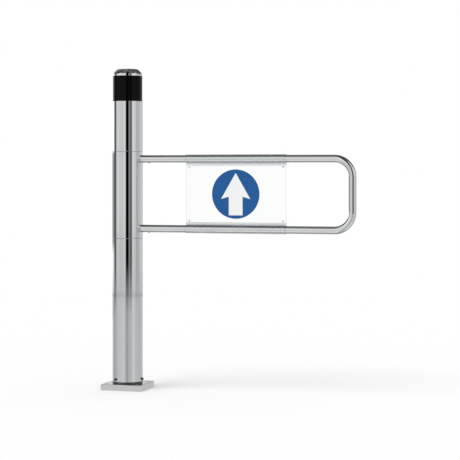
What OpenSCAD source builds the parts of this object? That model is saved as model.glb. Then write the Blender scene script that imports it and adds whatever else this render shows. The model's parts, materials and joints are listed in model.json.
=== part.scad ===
// Pedestrian swing gate: a chromed post whose middle sleeve turns with a tubular arm and a sign panel.
// A geared motor in the head drives the sleeve through a pinion and an internal ring gear.
// Origin: centre of the base plate's underside, on the post's axis. +Z is up, the arm at rest lies
// along +X, and the side that carries the arrow sign faces -Y.

/* [Post] */
// Outside diameter of the post tubes and the turning sleeve
post_d = 101.6; // [98:0.1:114]
// Wall of the post tubes and the sleeve
post_wall = 2; // [1.5:0.1:3]
// Length of the lower post tube
lower_tube_len = 477.5; // [300:0.5:700]
// Length of the turning sleeve
sleeve_len = 288; // [280:0.5:400]
// Length of the upper post tube
upper_tube_len = 167.3; // [160:0.1:260]
// Open slit at each end of the sleeve
seam_gap = 0.8; // [0.5:0.1:2]
// Thickness of the lip that shows in each seam
seam_lip_t = 1; // [0.8:0.1:3]
// Step from the tube's outside in to a seam lip, on the radius
seam_step = 0.8; // [0.4:0.1:1.5]

/* [Base] */
// Side of the square base plate
plate_w = 140; // [136:1:200]
// Thickness of the base plate
plate_t = 20; // [12:1:25]
// Chamfer round the top edge of the base plate
plate_chamfer = 1.5; // [0.5:0.1:3]
// Distance between neighbouring anchor holes
anchor_pitch = 108; // [104:1:112]
// Diameter of the anchor holes
anchor_d = 11; // [9:0.5:13]
// Diameter of the cable hole in the base plate
cable_hole_d = 30; // [20:1:40]
// Height of the foot spigot's dark shoulder
shoulder_h = 6; // [3:0.5:8]
// Height of the foot spigot inside the tube
spigot_len = 60; // [40:1:90]
// Wall of the foot spigot
spigot_wall = 16; // [8:0.5:18]
// Thread diameter of the foot screws
foot_screw_d = 5; // [4:0.5:8]
// Height of the foot screws above the tube's lower end
foot_screw_rise = 8; // [7:1:25]

/* [Spindle] */
// Height of the spindle seat inside the lower tube
seat_h = 36; // [28:1:50]
// Thickness of the spindle seat's web
seat_web_t = 14; // [12:1:20]
// Cable bore through the spindle and its seat
spindle_bore = 16; // [10:1:18]
// Diameter of the spindle's bolting flange
flange_d = 76; // [70:1:77]
// Thickness of the spindle's bolting flange
flange_t = 9; // [8:0.5:12]
// Bolt circle of the spindle's flange
flange_pcd = 59; // [57:0.5:60]
// Thread diameter of the flange screws
flange_screw_d = 6; // [5:0.5:6]
// Collar between the flange and the lower bearing
collar_h = 3; // [2:0.5:5]
// Diameter of the spindle above the upper bearing
neck_d = 29; // [26:0.5:30]
// Thread diameter at the top of the spindle
nut_thread_d = 24; // [22:0.5:25]

/* [Bearings] */
// Bore of both ball bearings
bearing_bore = 35; // [34:0.5:36]
// Outside diameter of both ball bearings
bearing_od = 62; // [61:0.5:63]
// Width of both ball bearings
bearing_w = 14; // [12:0.5:16]
// Diameter of the bearing balls
ball_d = 8; // [7:0.5:8.5]
// Number of balls in a bearing
ball_n = 11; // [9:1:12]

/* [Arm] */
// Outside diameter of the arm's tube
arm_d = 25; // [22:0.5:28]
// Wall of the arm's tube
arm_wall = 1.5; // [1.2:0.1:2]
// Distance from the post's axis to the axis of the arm's far upright
arm_reach = 770; // [600:1:1000]
// Height of the lower arm tube's axis above the sleeve's lower end
arm_low_rise = 31.6; // [30:0.1:34]
// Depth of the upper arm tube's axis below the sleeve's upper end
arm_top_drop = 23.9; // [23.5:0.1:30]
// Bend radius of the arm's tube, at its axis
arm_bend_r = 60; // [45:1:90]
// Height of each hub inside the sleeve
hub_h = 40; // [38:1:48]
// Bore of each hub, round the spindle
hub_bore = 46; // [44:0.5:50]
// Length of an arm spigot inside the arm's tube
arm_spigot_len = 54; // [40:1:80]
// Thread diameter of an arm spigot's tail
tail_d = 16; // [12:0.5:16]
// Distance of the arm's grub screws from the post's axis
grub_x = 76; // [70:1:90]
// Thread diameter of the arm's grub screws
grub_d = 6; // [4:0.5:6]

/* [Sign] */
// Width of the clear sign panel, along the arm
panel_w = 341; // [200:1:480]
// Distance from the post's axis to the middle of the panel
panel_x = 378; // [330:1:420]
// Thickness of the clear sheet
sheet_t = 1.5; // [1:0.1:3]
// Distance from a level tube's axis to where the sheet's two faces meet
pinch_drop = 22; // [18:0.5:32]
// Distance from a level tube's axis to the edge of the blue disc
disc_inset = 35; // [30:0.5:60]
// Distance of the disc's centre from the panel's middle
disc_shift = 0; // [-20:1:20]
// Thickness of the disc and arrow films
film_t = 0.4; // [0.3:0.1:0.8]

/* [Head] */
// Outside diameter of the black head ring
head_d = 99; // [96:0.1:101]
// Height of the black head ring above the upper tube
head_h = 84.6; // [75:0.1:120]
// Wall of the black head ring
head_wall = 4; // [3:0.5:5]
// Length of the head ring inside the upper tube
head_plug_len = 10; // [6:1:14]
// Thickness of the ledge that carries the head plate
head_ledge_t = 6; // [4:0.5:8]
// Thickness of the head plate
head_plate_t = 5; // [4:0.5:8]
// Diameter of the domed cap
cap_d = 98; // [93:0.5:98.5]
// Height of the cap's upright rim
cap_rim_h = 6.2; // [5:0.1:10]
// Whole height of the cap above the head ring
cap_h = 25.4; // [18:0.1:30]
// Diameter at which the cap's shoulder meets its flat crown
cap_crown_d = 68; // [50:1:72]
// Wall of the cap
cap_wall = 1.8; // [1.2:0.1:2.5]

/* [Drive] */
// Module of the ring gear and its pinion
gear_m = 1.5; // [1.4:0.05:1.5]
// Teeth of the internal ring gear
ring_teeth = 52; // [52:1:52]
// Teeth of the drive pinion
pinion_teeth = 14; // [14:1:14]
// Play between the tooth flanks, along the pitch circle
gear_backlash = 0.3; // [0.2:0.05:0.4]
// Face width of the ring gear's teeth
gear_face = 8.5; // [7:0.5:9]
// Thickness of the ring gear's web, which also holds the upper bearing
gear_web_t = 3; // [2.5:0.5:3.5]
// Diameter of the geared motor
motor_d = 32; // [28:1:32]
// Length of the motor's can
motor_len = 62; // [50:1:70]
// Length of the planetary gearbox
gearbox_len = 38; // [30:1:45]
// Diameter of the geared motor's output shaft
shaft_d = 8; // [6:0.5:8]
// Thickness of the motor plate
motor_plate_t = 16; // [14:1:20]
// Travel of the gate from closed to open, in degrees
swing_angle = 90; // [60:5:90]

/* [Controls] */
// Width of the control board
board_w = 72; // [60:1:76]
// Height of the control board
board_h = 100; // [80:1:104]
// Thickness of the control and sensor boards
board_t = 1.6; // [1:0.1:2]
// Thickness of the folded sheet brackets
bracket_t = 1.5; // [1:0.1:2]
// Thread diameter of the tie rods
rod_d = 5; // [4:0.5:6]
// Distance of the tie rods from the post's axis
rod_r = 33; // [32:0.5:34]
// Diameter of the position sensors
sensor_d = 6; // [5:0.5:6]

/* [Hidden] */
$fn = 72;
ball_fn = 32;
overrun = 1;
fit_gap = 0.1;
thread_gap = 0.05;
stop_gap = 0.3;

// Radii of the post
post_r = post_d / 2;
bore_r = post_r - post_wall;
lip_r = post_r - seam_step;
inside_r = bore_r - fit_gap;

// Heights, from the floor up
z_plate = plate_t;
z_tube = z_plate + shoulder_h;
z_seat = z_tube + lower_tube_len;
z_seat_top = z_seat + seam_lip_t;
z_sleeve = z_seat_top + seam_gap;
z_sleeve_top = z_sleeve + sleeve_len;
z_upper_lip = z_sleeve_top + seam_gap;
z_upper_tube = z_upper_lip + seam_lip_t;
z_head = z_upper_tube + upper_tube_len;
z_cap = z_head + head_h;
z_flange_top = z_seat_top + flange_t;
z_low_bearing = z_flange_top + collar_h;
z_arm_low = z_sleeve + arm_low_rise;
arm_spacing = sleeve_len - arm_low_rise - arm_top_drop;
z_arm_top = z_arm_low + arm_spacing;
z_arm_mid = (z_arm_low + z_arm_top) / 2;

// Upper hub, its bearing and the ring gear, hung from the top of the sleeve
gear_drop = 1;
z_gear_top = z_sleeve_top - gear_drop;
z_hub_top = z_gear_top - gear_face - gear_web_t;
z_top_bearing = z_hub_top - bearing_w;
z_web_top = z_hub_top + gear_web_t;

// Motor plate, above the seam
plate_rise = 20;
z_motor_plate = z_gear_top + plate_rise;
z_motor = z_motor_plate + motor_plate_t;
motor_plate_r = inside_r;
nut_d = 38;
nut_h = 7;
nut_sink = 1;
nut_slot_w = 5;
nut_slot_depth = 2.5;
nut_recess = nut_h + nut_sink;
nut_room = 0.2;

// Base details
corner_chamfer = 2;
foot_screw_head_d = 8.5;
foot_screw_head_h = 5;
foot_screw_grip = 8;
foot_screw_turns = [0, 120, 240];
spigot_screw_d = 6;
spigot_screw_head_d = 12;
spigot_screw_head_h = 3;
spigot_screw_sink = 0.5;
spigot_screw_grip = 14;

// Spindle details
seat_rim = 12;
flange_screw_head_d = 10;
flange_screw_head_h = 4.2;
flange_screw_depth = 10;
screw_end_gap = 1;
collar_d = bearing_bore + 2 * collar_h;
circlip_t = 1.5;
circlip_out = 2.2;
circlip_in = 1;
circlip_mouth = 50;

// Bearing details
ball_pitch_d = (bearing_bore + bearing_od) / 2;
ball_gap = 0.06;
land_share = 0.31;
cage_w = 9;
cage_wall = 2.6;
pocket_gap = 0.2;
inner_land_r = ball_pitch_d / 2 - land_share * ball_d;
outer_land_r = ball_pitch_d / 2 + land_share * ball_d;

// End stops: a dog under the lower hub runs between two buffered pins
stop_r = 43;
stop_pin_d = 6;
stop_pin_hold = 10;
stop_pin_rise = 10;
buffer_d = 9;
buffer_h = 8;
dog_d = 8;
dog_clear = 3;
dog_turn = 225;
stop_turn = 2 * asin((buffer_d / 2 + dog_d / 2 + stop_gap) / 2 / stop_r);

// Gears
pressure_angle = 20;
ring_pitch_r = gear_m * ring_teeth / 2;
pinion_pitch_r = gear_m * pinion_teeth / 2;
drive_r = ring_pitch_r - pinion_pitch_r;
drive_turn = 90;
tooth_tip_share = 1;
tooth_root_share = 1.25;
ring_tip_share = 0.68;
flank_steps = 5;
gear_gap = 1;
gear_out_r = bore_r - gear_gap;
gear_web_r = bearing_od / 2 - cage_wall;
gear_screw_d = 3;
gear_screw_r = bearing_od / 2 + gear_screw_d + fit_gap;
gear_screw_n = 6;
gear_screw_head_d = 6;
gear_screw_head_h = 1.7;
gear_screw_depth = 8;
pinion_clear = 0.8;
pinion_h = gear_face - pinion_clear;
shaft_room = 0.5;
shaft_seat = 12;
shaft_hole_d = shaft_d + 2 * shaft_room;
gearbox_screw_d = 4;
gearbox_screw_r = 12.5;
gearbox_screw_head_d = 7;
gearbox_screw_head_h = 4;
gearbox_screw_depth = 6;
gearbox_screw_turns = [0, 90, 180];
motor_neck_h = 2;
motor_step = 1.5;
motor_end_h = 4;
motor_end_d = 14;

// Position sensors and their flag
sensor_r = 41.5;
sensor_len = 40;
sensor_gap = 0.9;
flag_r = sensor_r + sensor_gap;
flag_turn = 200;
flag_h = 5;
flag_l = 7;
flag_w = 4.5;
flag_pin_d = 2.5;
flag_pin_len = 5;

// Ring and ledge in the upper tube
seam_ring_wall = 2.2;
seam_ring_len = 10;
ledge_h = 6;
ledge_wall = 3;

// Control board and what it carries
board_y = -9.6;
board_rise = 14;
bracket_gap = 3.5;
bracket_w = 68;
bracket_foot = 14;
bracket_notch = 28;
bracket_screw_x = 24;
bracket_screw_d = 4;
bracket_screw_head_d = 7;
bracket_screw_head_h = 3;
bracket_screw_depth = 8;
board_margin = 6;
standoff_d = 6;
board_screw_d = 3;
board_screw_head_d = 5.5;
board_screw_head_h = 2;
capacitor_d = 16;
capacitor_h = 25;
capacitor_x = 9.5;
capacitor_share = 0.42;
sink_w = 36;
sink_d = 20;
sink_h = 28;
sink_base_t = 3;
sink_fins = 7;
sink_fin_t = 1.6;
sink_share = 0.78;
terminal_w = 40;
terminal_d = 11;
terminal_h = 12;
terminal_ways = 8;
terminal_hole_d = 2.8;
terminal_hole_depth = 7;
terminal_share = 0.12;

// Head details
recess_wall = 6;
recess_depth = 15;
ledge_in = 6;
rod_turns = [45, 135, 225, 315];
rod_hold = 10;
rod_nut_w = 8;
rod_nut_h = 4;
rod_tail = 1.5;
head_hole_d = 20;
cap_plug_wall = 3.2;
cap_plug_len = 9;
cap_arc_steps = 6;
crown_steps = 4;
crown_rise = 2.7;
shoulder_bulge = 1.4;
ring_cord_d = 2;
ring_groove_depth = 1.6;
ring_drop = 4;
sensor_bracket_w = 24;
sensor_bracket_y = -33.4;
sensor_bracket_drop = 52;
sensor_bracket_foot = 13;
sensor_board_w = 32;
sensor_board_h = 36;
sensor_can_w = 24;
sensor_can_h = 26;
sensor_can_d = 6;
sensor_lens_d = 12;
sensor_lens_t = 1;

// Arm details
spigot_r = arm_d / 2 - arm_wall - fit_gap;
tail_wall = 2;
tail_gap = 1;
tail_end_r = bearing_od / 2 + tail_wall;
grub_show = 1.5;
grub_bite = 3;
cope_gap = 0.1;
wrap_gap = 0.15;
wrap_r = arm_d / 2 + wrap_gap;
wrap_out_r = wrap_r + sheet_t;
pinch_turn = asin(wrap_r / pinch_drop);
disc_d = arm_spacing - 2 * disc_inset;

// Arrow on the disc, as shares of the disc's radius
arrow_tip_share = 0.857;
arrow_barb_x_share = 0.617;
arrow_barb_z_share = -0.2;
arrow_notch_z_share = -0.105;
arrow_shaft_share = 0.29;
arrow_foot_share = -0.86;

// A round tube standing on height z
module tube(r_out, r_in, h, z = 0) {
    translate([0, 0, z])
        difference() {
            cylinder(r = r_out, h = h);
            translate([0, 0, -overrun]) cylinder(r = r_in, h = h + 2 * overrun);
        }
}

// Copies its children to each turn of a list, r out from the axis
module at_turns(turns, r = 0) {
    for (a = turns) rotate([0, 0, a]) translate([r, 0, 0]) children();
}

// Turns evenly spread round a full circle
function even_turns(n, first = 0) = [for (i = [0 : n - 1]) first + i * 360 / n];

// A cap screw pointing down, with the underside of its head at the origin
module cap_screw(d, l, head_d, head_h) {
    socket_share = 0.55;
    depth_share = 0.6;
    translate([0, 0, -l]) cylinder(d = d, h = l);
    difference() {
        cylinder(d = head_d, h = head_h);
        translate([0, 0, head_h * (1 - depth_share)])
            rotate([0, 0, 30]) cylinder(d = head_d * socket_share, h = head_h, $fn = 6);
    }
}

// The hole for a cap screw, with its head sunk to the given depth
module cap_screw_hole(d, l, head_d, sink) {
    translate([0, 0, -l - fit_gap]) cylinder(d = d + 2 * thread_gap, h = l + sink + fit_gap + overrun);
    cylinder(d = head_d + 4 * fit_gap, h = sink + overrun);
}

// Base plate with four anchor holes and a cable hole
module base_plate() {
    half = plate_w / 2;
    side = half - corner_chamfer;
    edge = plate_w * 2;
    color("silver")
        difference() {
            linear_extrude(height = plate_t)
                polygon([[side, -half], [half, -side], [half, side], [side, half],
                    [-side, half], [-half, side], [-half, -side], [-side, -half]]);
            for (a = even_turns(4))
                rotate([0, 0, a]) translate([half, 0, plate_t - plate_chamfer])
                    rotate([0, 45, 0]) translate([0, -edge / 2, 0]) cube([edge, edge, edge]);
            for (a = even_turns(4, 45))
                rotate([0, 0, a]) translate([anchor_pitch / sqrt(2), 0, -overrun])
                    cylinder(d = anchor_d, h = plate_t + 2 * overrun);
            translate([0, 0, -overrun]) cylinder(d = cable_hole_d, h = plate_t + 2 * overrun);
            at_turns(even_turns(4, 45), inside_r - spigot_wall / 2)
                mirror([0, 0, 1]) translate([0, 0, -spigot_screw_sink]) {
                    translate([0, 0, -plate_t - overrun])
                        cylinder(d = spigot_screw_d + 2 * fit_gap, h = plate_t + 2 * overrun);
                    sunk_head(spigot_screw_d, spigot_screw_head_d, spigot_screw_head_h, fit_gap, overrun);
                }
        }
}

// Countersunk screws that hold the spigot on the base plate, put in from below
module spigot_screws() {
    shank = plate_t + spigot_screw_grip - spigot_screw_sink;
    color("dimgray")
        at_turns(even_turns(4, 45), inside_r - spigot_wall / 2)
            mirror([0, 0, 1]) translate([0, 0, -spigot_screw_sink]) {
                translate([0, 0, -shank]) cylinder(d = spigot_screw_d, h = shank);
                sunk_head(spigot_screw_d, spigot_screw_head_d, spigot_screw_head_h);
            }
}

// Turned steel spigot on the base plate: its dark shoulder shows under the post
module foot_spigot() {
    screw_r = inside_r - spigot_wall / 2;
    color("dimgray")
        difference() {
            union() {
                tube(lip_r, inside_r - spigot_wall, shoulder_h, z_plate);
                tube(inside_r, inside_r - spigot_wall, spigot_len, z_tube);
            }
            at_turns(even_turns(4, 45), screw_r)
                translate([0, 0, z_plate - overrun])
                    cylinder(d = spigot_screw_d + 2 * thread_gap,
                        h = spigot_screw_grip + fit_gap + overrun);
            at_turns(foot_screw_turns, post_r)
                translate([0, 0, z_tube + foot_screw_rise])
                    rotate([0, 90, 0])
                        cap_screw_hole(foot_screw_d, foot_screw_grip + post_wall, foot_screw_head_d, 0);
        }
}

// Cap screws that hold the lower tube on its spigot
module foot_screws() {
    color("dimgray")
        at_turns(foot_screw_turns, post_r)
            translate([0, 0, z_tube + foot_screw_rise])
                rotate([0, 90, 0])
                    cap_screw(foot_screw_d, foot_screw_grip, foot_screw_head_d, foot_screw_head_h);
}

// Lower post tube
module lower_tube() {
    color("gainsboro")
        difference() {
            tube(post_r, bore_r, lower_tube_len, z_tube);
            at_turns(foot_screw_turns, bore_r - overrun)
                translate([0, 0, z_tube + foot_screw_rise])
                    rotate([0, 90, 0])
                        cylinder(d = foot_screw_d + 4 * fit_gap, h = post_wall + 2 * overrun);
        }
}

// Turned seat in the top of the lower tube, with the lip that shows in the lower seam
module spindle_seat() {
    color("dimgray")
        difference() {
            rotate_extrude()
                polygon([[spindle_bore / 2, z_seat_top], [lip_r, z_seat_top], [lip_r, z_seat],
                    [inside_r, z_seat], [inside_r, z_seat - seat_h],
                    [inside_r - seat_rim, z_seat - seat_h], [inside_r - seat_rim, z_seat_top - seat_web_t],
                    [spindle_bore / 2, z_seat_top - seat_web_t]]);
            at_turns(even_turns(4), flange_pcd / 2)
                translate([0, 0, z_seat_top - flange_screw_depth])
                    cylinder(d = flange_screw_d + 2 * thread_gap, h = flange_screw_depth + overrun);
            at_turns([dog_turn - stop_turn, dog_turn + swing_angle + stop_turn], stop_r)
                translate([0, 0, z_seat_top - stop_pin_hold - thread_gap])
                    cylinder(d = stop_pin_d + 2 * thread_gap, h = stop_pin_hold + overrun);
        }
}

// Hollow spindle: flange, collar, bearing journal, neck and threaded top
module spindle() {
    groove_r = bearing_bore / 2 - circlip_in;
    color("lightslategray")
        difference() {
            rotate_extrude()
                polygon([[spindle_bore / 2, z_seat_top], [flange_d / 2, z_seat_top],
                    [flange_d / 2, z_flange_top], [collar_d / 2, z_flange_top],
                    [collar_d / 2, z_low_bearing],
                    [bearing_bore / 2, z_low_bearing], [bearing_bore / 2, z_hub_top], [groove_r, z_hub_top],
                    [groove_r, z_hub_top + circlip_t], [bearing_bore / 2, z_hub_top + circlip_t],
                    [bearing_bore / 2, z_web_top], [neck_d / 2, z_web_top], [neck_d / 2, z_motor_plate],
                    [nut_thread_d / 2, z_motor_plate], [nut_thread_d / 2, z_motor - nut_sink],
                    [spindle_bore / 2, z_motor - nut_sink]]);
            at_turns(even_turns(4), flange_pcd / 2)
                translate([0, 0, z_flange_top - flange_screw_head_h])
                    cap_screw_hole(flange_screw_d, flange_t, flange_screw_head_d, flange_screw_head_h);
        }
}

// Low-head screws through the spindle's flange
module spindle_screws() {
    color("dimgray")
        at_turns(even_turns(4), flange_pcd / 2)
            translate([0, 0, z_flange_top - flange_screw_head_h])
                cap_screw(flange_screw_d, flange_t - flange_screw_head_h + flange_screw_depth - screw_end_gap,
                    flange_screw_head_d, flange_screw_head_h - 2 * fit_gap);
}

// Open ring that holds the upper bearing on the spindle
module spindle_circlip() {
    r_out = bearing_bore / 2 + circlip_out;
    color("dimgray")
        translate([0, 0, z_hub_top + thread_gap])
            difference() {
                cylinder(r = r_out, h = circlip_t - 2 * thread_gap);
                translate([0, 0, -overrun])
                    cylinder(r = bearing_bore / 2 - circlip_in + thread_gap, h = circlip_t + 2 * overrun);
                translate([0, 0, -overrun])
                    linear_extrude(height = circlip_t + 2 * overrun)
                        polygon([[0, 0], polar(2 * r_out, circlip_mouth / 2),
                            polar(2 * r_out, -circlip_mouth / 2)]);
            }
}

// Slotted round nut sunk in the motor plate
module spindle_nut() {
    color("dimgray")
        translate([0, 0, z_motor - nut_recess + thread_gap])
            difference() {
                tube(nut_d / 2, nut_thread_d / 2 + thread_gap, nut_h - thread_gap);
                at_turns(even_turns(4), nut_d / 2 - nut_slot_depth)
                    translate([0, -nut_slot_w / 2, -overrun])
                        cube([nut_d, nut_slot_w, nut_h + 2 * overrun]);
            }
}

// Groove that the balls run in, as a ring to cut away
module ball_groove() {
    rotate_extrude()
        translate([ball_pitch_d / 2, bearing_w / 2]) circle(d = ball_d + 2 * ball_gap, $fn = ball_fn);
}

// Inner ring of a ball bearing
module inner_ring(z) {
    color("lightslategray")
        translate([0, 0, z])
            difference() {
                tube(inner_land_r, bearing_bore / 2 + thread_gap, bearing_w);
                ball_groove();
            }
}

// Outer ring of a ball bearing
module outer_ring(z) {
    color("lightslategray")
        translate([0, 0, z])
            difference() {
                tube(bearing_od / 2 - thread_gap, outer_land_r, bearing_w);
                ball_groove();
            }
}

// Balls of a bearing
module balls(z) {
    color("gainsboro")
        at_turns(even_turns(ball_n), ball_pitch_d / 2)
            translate([0, 0, z + bearing_w / 2]) sphere(d = ball_d, $fn = ball_fn);
}

// Cage that keeps the balls apart
module cage(z) {
    color("darkgoldenrod")
        difference() {
            tube(ball_pitch_d / 2 + cage_wall / 2, ball_pitch_d / 2 - cage_wall / 2, cage_w,
                z + (bearing_w - cage_w) / 2);
            at_turns(even_turns(ball_n), ball_pitch_d / 2 - cage_wall)
                translate([0, 0, z + bearing_w / 2])
                    rotate([0, 90, 0]) cylinder(d = ball_d + 2 * pocket_gap, h = 2 * cage_wall);
        }
}

module lower_bearing_inner_ring() { inner_ring(z_low_bearing); }
module lower_bearing_outer_ring() { outer_ring(z_low_bearing); }
module lower_bearing_balls() { balls(z_low_bearing); }
module lower_bearing_cage() { cage(z_low_bearing); }
module upper_bearing_inner_ring() { inner_ring(z_top_bearing); }
module upper_bearing_outer_ring() { outer_ring(z_top_bearing); }
module upper_bearing_balls() { balls(z_top_bearing); }
module upper_bearing_cage() { cage(z_top_bearing); }

// Two pins in the seat that end the gate's travel
module stop_pins() {
    color("lightslategray")
        at_turns([dog_turn - stop_turn, dog_turn + swing_angle + stop_turn], stop_r)
            translate([0, 0, z_seat_top - stop_pin_hold])
                cylinder(d = stop_pin_d, h = stop_pin_hold + stop_pin_rise);
}

// Rubber buffers on the stop pins
module stop_buffers() {
    color("black")
        at_turns([dog_turn - stop_turn, dog_turn + swing_angle + stop_turn], stop_r)
            tube(buffer_d / 2, stop_pin_d / 2 + thread_gap, buffer_h, z_seat_top + thread_gap);
}

// Dog that hangs from the lower hub
module stop_dog() {
    color("lightslategray")
        at_turns([dog_turn], stop_r)
            translate([0, 0, z_seat_top + dog_clear])
                cylinder(d = dog_d, h = z_low_bearing - z_seat_top - dog_clear + stop_pin_hold);
}

// Turning sleeve between the two seams
module sleeve() {
    color("gainsboro")
        difference() {
            tube(post_r, bore_r, sleeve_len, z_sleeve);
            for (z = [z_arm_low, z_arm_top])
                translate([bore_r - 2 * overrun, 0, z])
                    rotate([0, 90, 0]) cylinder(d = tail_d + 4 * fit_gap, h = post_wall + 3 * overrun);
        }
}

// Blind threaded hole for an arm spigot's tail
module tail_hole(z) {
    translate([tail_end_r, 0, z]) rotate([0, 90, 0]) cylinder(d = tail_d + 2 * thread_gap, h = post_r);
}

// Lower hub, carried on the lower bearing
module lower_hub() {
    color("lightsteelblue")
        difference() {
            tube(inside_r, hub_bore / 2, hub_h, z_low_bearing);
            translate([0, 0, z_low_bearing - overrun]) cylinder(d = bearing_od, h = bearing_w + overrun);
            tail_hole(z_arm_low);
            at_turns([dog_turn], stop_r)
                translate([0, 0, z_low_bearing - overrun])
                    cylinder(d = dog_d + 2 * thread_gap, h = stop_pin_hold + overrun + thread_gap);
        }
}

// Upper hub, which carries the ring gear
module upper_hub() {
    color("lightsteelblue")
        difference() {
            tube(inside_r, hub_bore / 2, hub_h, z_hub_top - hub_h);
            translate([0, 0, z_top_bearing]) cylinder(d = bearing_od, h = bearing_w + overrun);
            tail_hole(z_arm_top);
            at_turns(even_turns(gear_screw_n, 30), gear_screw_r)
                translate([0, 0, z_hub_top - gear_screw_depth - fit_gap])
                    cylinder(d = gear_screw_d + 2 * thread_gap, h = gear_screw_depth + fit_gap + overrun);
        }
}

// Involute of an angle, in degrees
function involute(a) = tan(a) * 180 / PI - a;

// Half the angle that a tooth fills at radius r, where half_p is that half angle at the pitch circle
function half_tooth(r, pitch_r, half_p) =
    half_p + involute(pressure_angle) - involute(acos(min(1, pitch_r * cos(pressure_angle) / r)));

// Outline of a gear with teeth from root_r to tip_r, one tooth centred on the first axis
function gear_outline(teeth, pitch_r, root_r, tip_r, half_p) =
    let (base_r = pitch_r * cos(pressure_angle), low_r = max(root_r, base_r))
    [for (i = [0 : teeth - 1]) let (a = i * 360 / teeth) each concat(
        root_r < low_r ? [polar(root_r, a - half_tooth(low_r, pitch_r, half_p))] : [],
        [for (k = [0 : flank_steps]) let (r = low_r + (tip_r - low_r) * k / flank_steps)
            polar(r, a - half_tooth(r, pitch_r, half_p))],
        [for (k = [flank_steps : -1 : 0]) let (r = low_r + (tip_r - low_r) * k / flank_steps)
            polar(r, a + half_tooth(r, pitch_r, half_p))],
        root_r < low_r ? [polar(root_r, a + half_tooth(low_r, pitch_r, half_p))] : [])];

function polar(r, a) = [r * cos(a), r * sin(a)];

// Angle of half a tooth or half a space at the pitch circle, less or more the play
function half_pitch_angle(pitch_r, play) = (PI * gear_m / 2 + play) / 2 / pitch_r * 180 / PI;

// Internal gear with a web that covers the upper bearing's outer ring
module ring_gear() {
    color("slategray")
        difference() {
            translate([0, 0, z_hub_top]) cylinder(r = gear_out_r, h = gear_web_t + gear_face);
            translate([0, 0, z_hub_top - overrun]) cylinder(r = gear_web_r, h = gear_web_t + 2 * overrun);
            translate([0, 0, z_web_top]) rotate([0, 0, drive_turn])
                linear_extrude(height = gear_face + overrun)
                    polygon(gear_outline(ring_teeth, ring_pitch_r, ring_pitch_r - ring_tip_share * gear_m,
                        ring_pitch_r + tooth_root_share * gear_m,
                        half_pitch_angle(ring_pitch_r, gear_backlash / 2)));
            at_turns(even_turns(gear_screw_n, 30), gear_screw_r)
                translate([0, 0, z_web_top]) sunk_screw(fit_gap, overrun);
            at_turns([flag_turn], flag_r)
                translate([0, 0, z_gear_top - flag_pin_len - fit_gap])
                    cylinder(d = flag_pin_d + 2 * thread_gap, h = flag_pin_len + fit_gap + overrun);
        }
}

// A countersunk screw with its head flush at the origin, or its hole when gap and rise are over zero
module sunk_screw(gap = 0, rise = 0) {
    translate([0, 0, -gear_web_t - gear_screw_depth - gap])
        cylinder(d = gear_screw_d + gap, h = gear_web_t + gear_screw_depth + gap);
    sunk_head(gear_screw_d, gear_screw_head_d, gear_screw_head_h, gap, rise);
}

// The head of a countersunk screw, its flat top at the origin
module sunk_head(d, head_d, head_h, gap = 0, rise = 0) {
    translate([0, 0, -head_h]) cylinder(d1 = d + gap, d2 = head_d + gap, h = head_h);
    if (rise > 0) cylinder(d = head_d + gap, h = rise);
}

// Countersunk screws that hold the ring gear on the upper hub
module ring_gear_screws() {
    color("dimgray")
        at_turns(even_turns(gear_screw_n, 30), gear_screw_r)
            translate([0, 0, z_web_top]) sunk_screw();
}

// Steel flag on the ring gear, seen by the position sensors
module sensor_flag() {
    color("dimgray")
        at_turns([flag_turn], flag_r) {
            translate([-flag_w / 2, -flag_l / 2, z_gear_top]) cube([flag_w, flag_l, flag_h]);
            translate([0, 0, z_gear_top - flag_pin_len])
                cylinder(d = flag_pin_d, h = flag_pin_len + overrun);
        }
}

// Pinion that drives the ring gear
module drive_pinion() {
    color("goldenrod")
        rotate([0, 0, drive_turn]) translate([drive_r, 0, z_web_top + pinion_clear / 2])
            difference() {
                linear_extrude(height = pinion_h)
                    polygon(gear_outline(pinion_teeth, pinion_pitch_r,
                        pinion_pitch_r - tooth_root_share * gear_m,
                        pinion_pitch_r + tooth_tip_share * gear_m,
                        half_pitch_angle(pinion_pitch_r, -gear_backlash / 2)));
                translate([0, 0, -overrun])
                    cylinder(d = shaft_d + 2 * thread_gap, h = pinion_h + 2 * overrun);
            }
}

// Output shaft of the gearbox
module motor_shaft() {
    color("lightslategray")
        rotate([0, 0, drive_turn]) translate([drive_r, 0, z_web_top + pinion_clear / 2])
            cylinder(d = shaft_d, h = z_motor - z_web_top - pinion_clear / 2 + shaft_seat);
}

// Planetary gearbox of the geared motor
module gearbox() {
    color("gray")
        rotate([0, 0, drive_turn]) translate([drive_r, 0, z_motor])
            difference() {
                union() {
                    cylinder(d = motor_d, h = gearbox_len);
                    translate([0, 0, gearbox_len]) cylinder(d = motor_d - 2 * motor_step, h = motor_neck_h);
                }
                translate([0, 0, -overrun])
                    cylinder(d = shaft_d + 2 * fit_gap, h = shaft_seat + fit_gap + overrun);
                at_turns([for (a = gearbox_screw_turns) a - 90], gearbox_screw_r)
                    translate([0, 0, -overrun])
                        cylinder(d = gearbox_screw_d + 2 * thread_gap,
                            h = gearbox_screw_depth + overrun + fit_gap);
            }
}

// Screws that hold the gearbox on the motor plate, put in from below
module gearbox_screws() {
    color("dimgray")
        rotate([0, 0, drive_turn]) translate([drive_r, 0, z_motor_plate])
            at_turns([for (a = gearbox_screw_turns) a - 90], gearbox_screw_r)
                mirror([0, 0, 1])
                    cap_screw(gearbox_screw_d, motor_plate_t + gearbox_screw_depth,
                        gearbox_screw_head_d, gearbox_screw_head_h);
}

// Can of the motor, with its end boss
module motor_can() {
    color("silver")
        rotate([0, 0, drive_turn]) translate([drive_r, 0, z_motor + gearbox_len + motor_neck_h]) {
            cylinder(d = motor_d - motor_step, h = motor_len);
            translate([0, 0, motor_len]) cylinder(d = motor_end_d, h = motor_end_h);
        }
}

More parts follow.
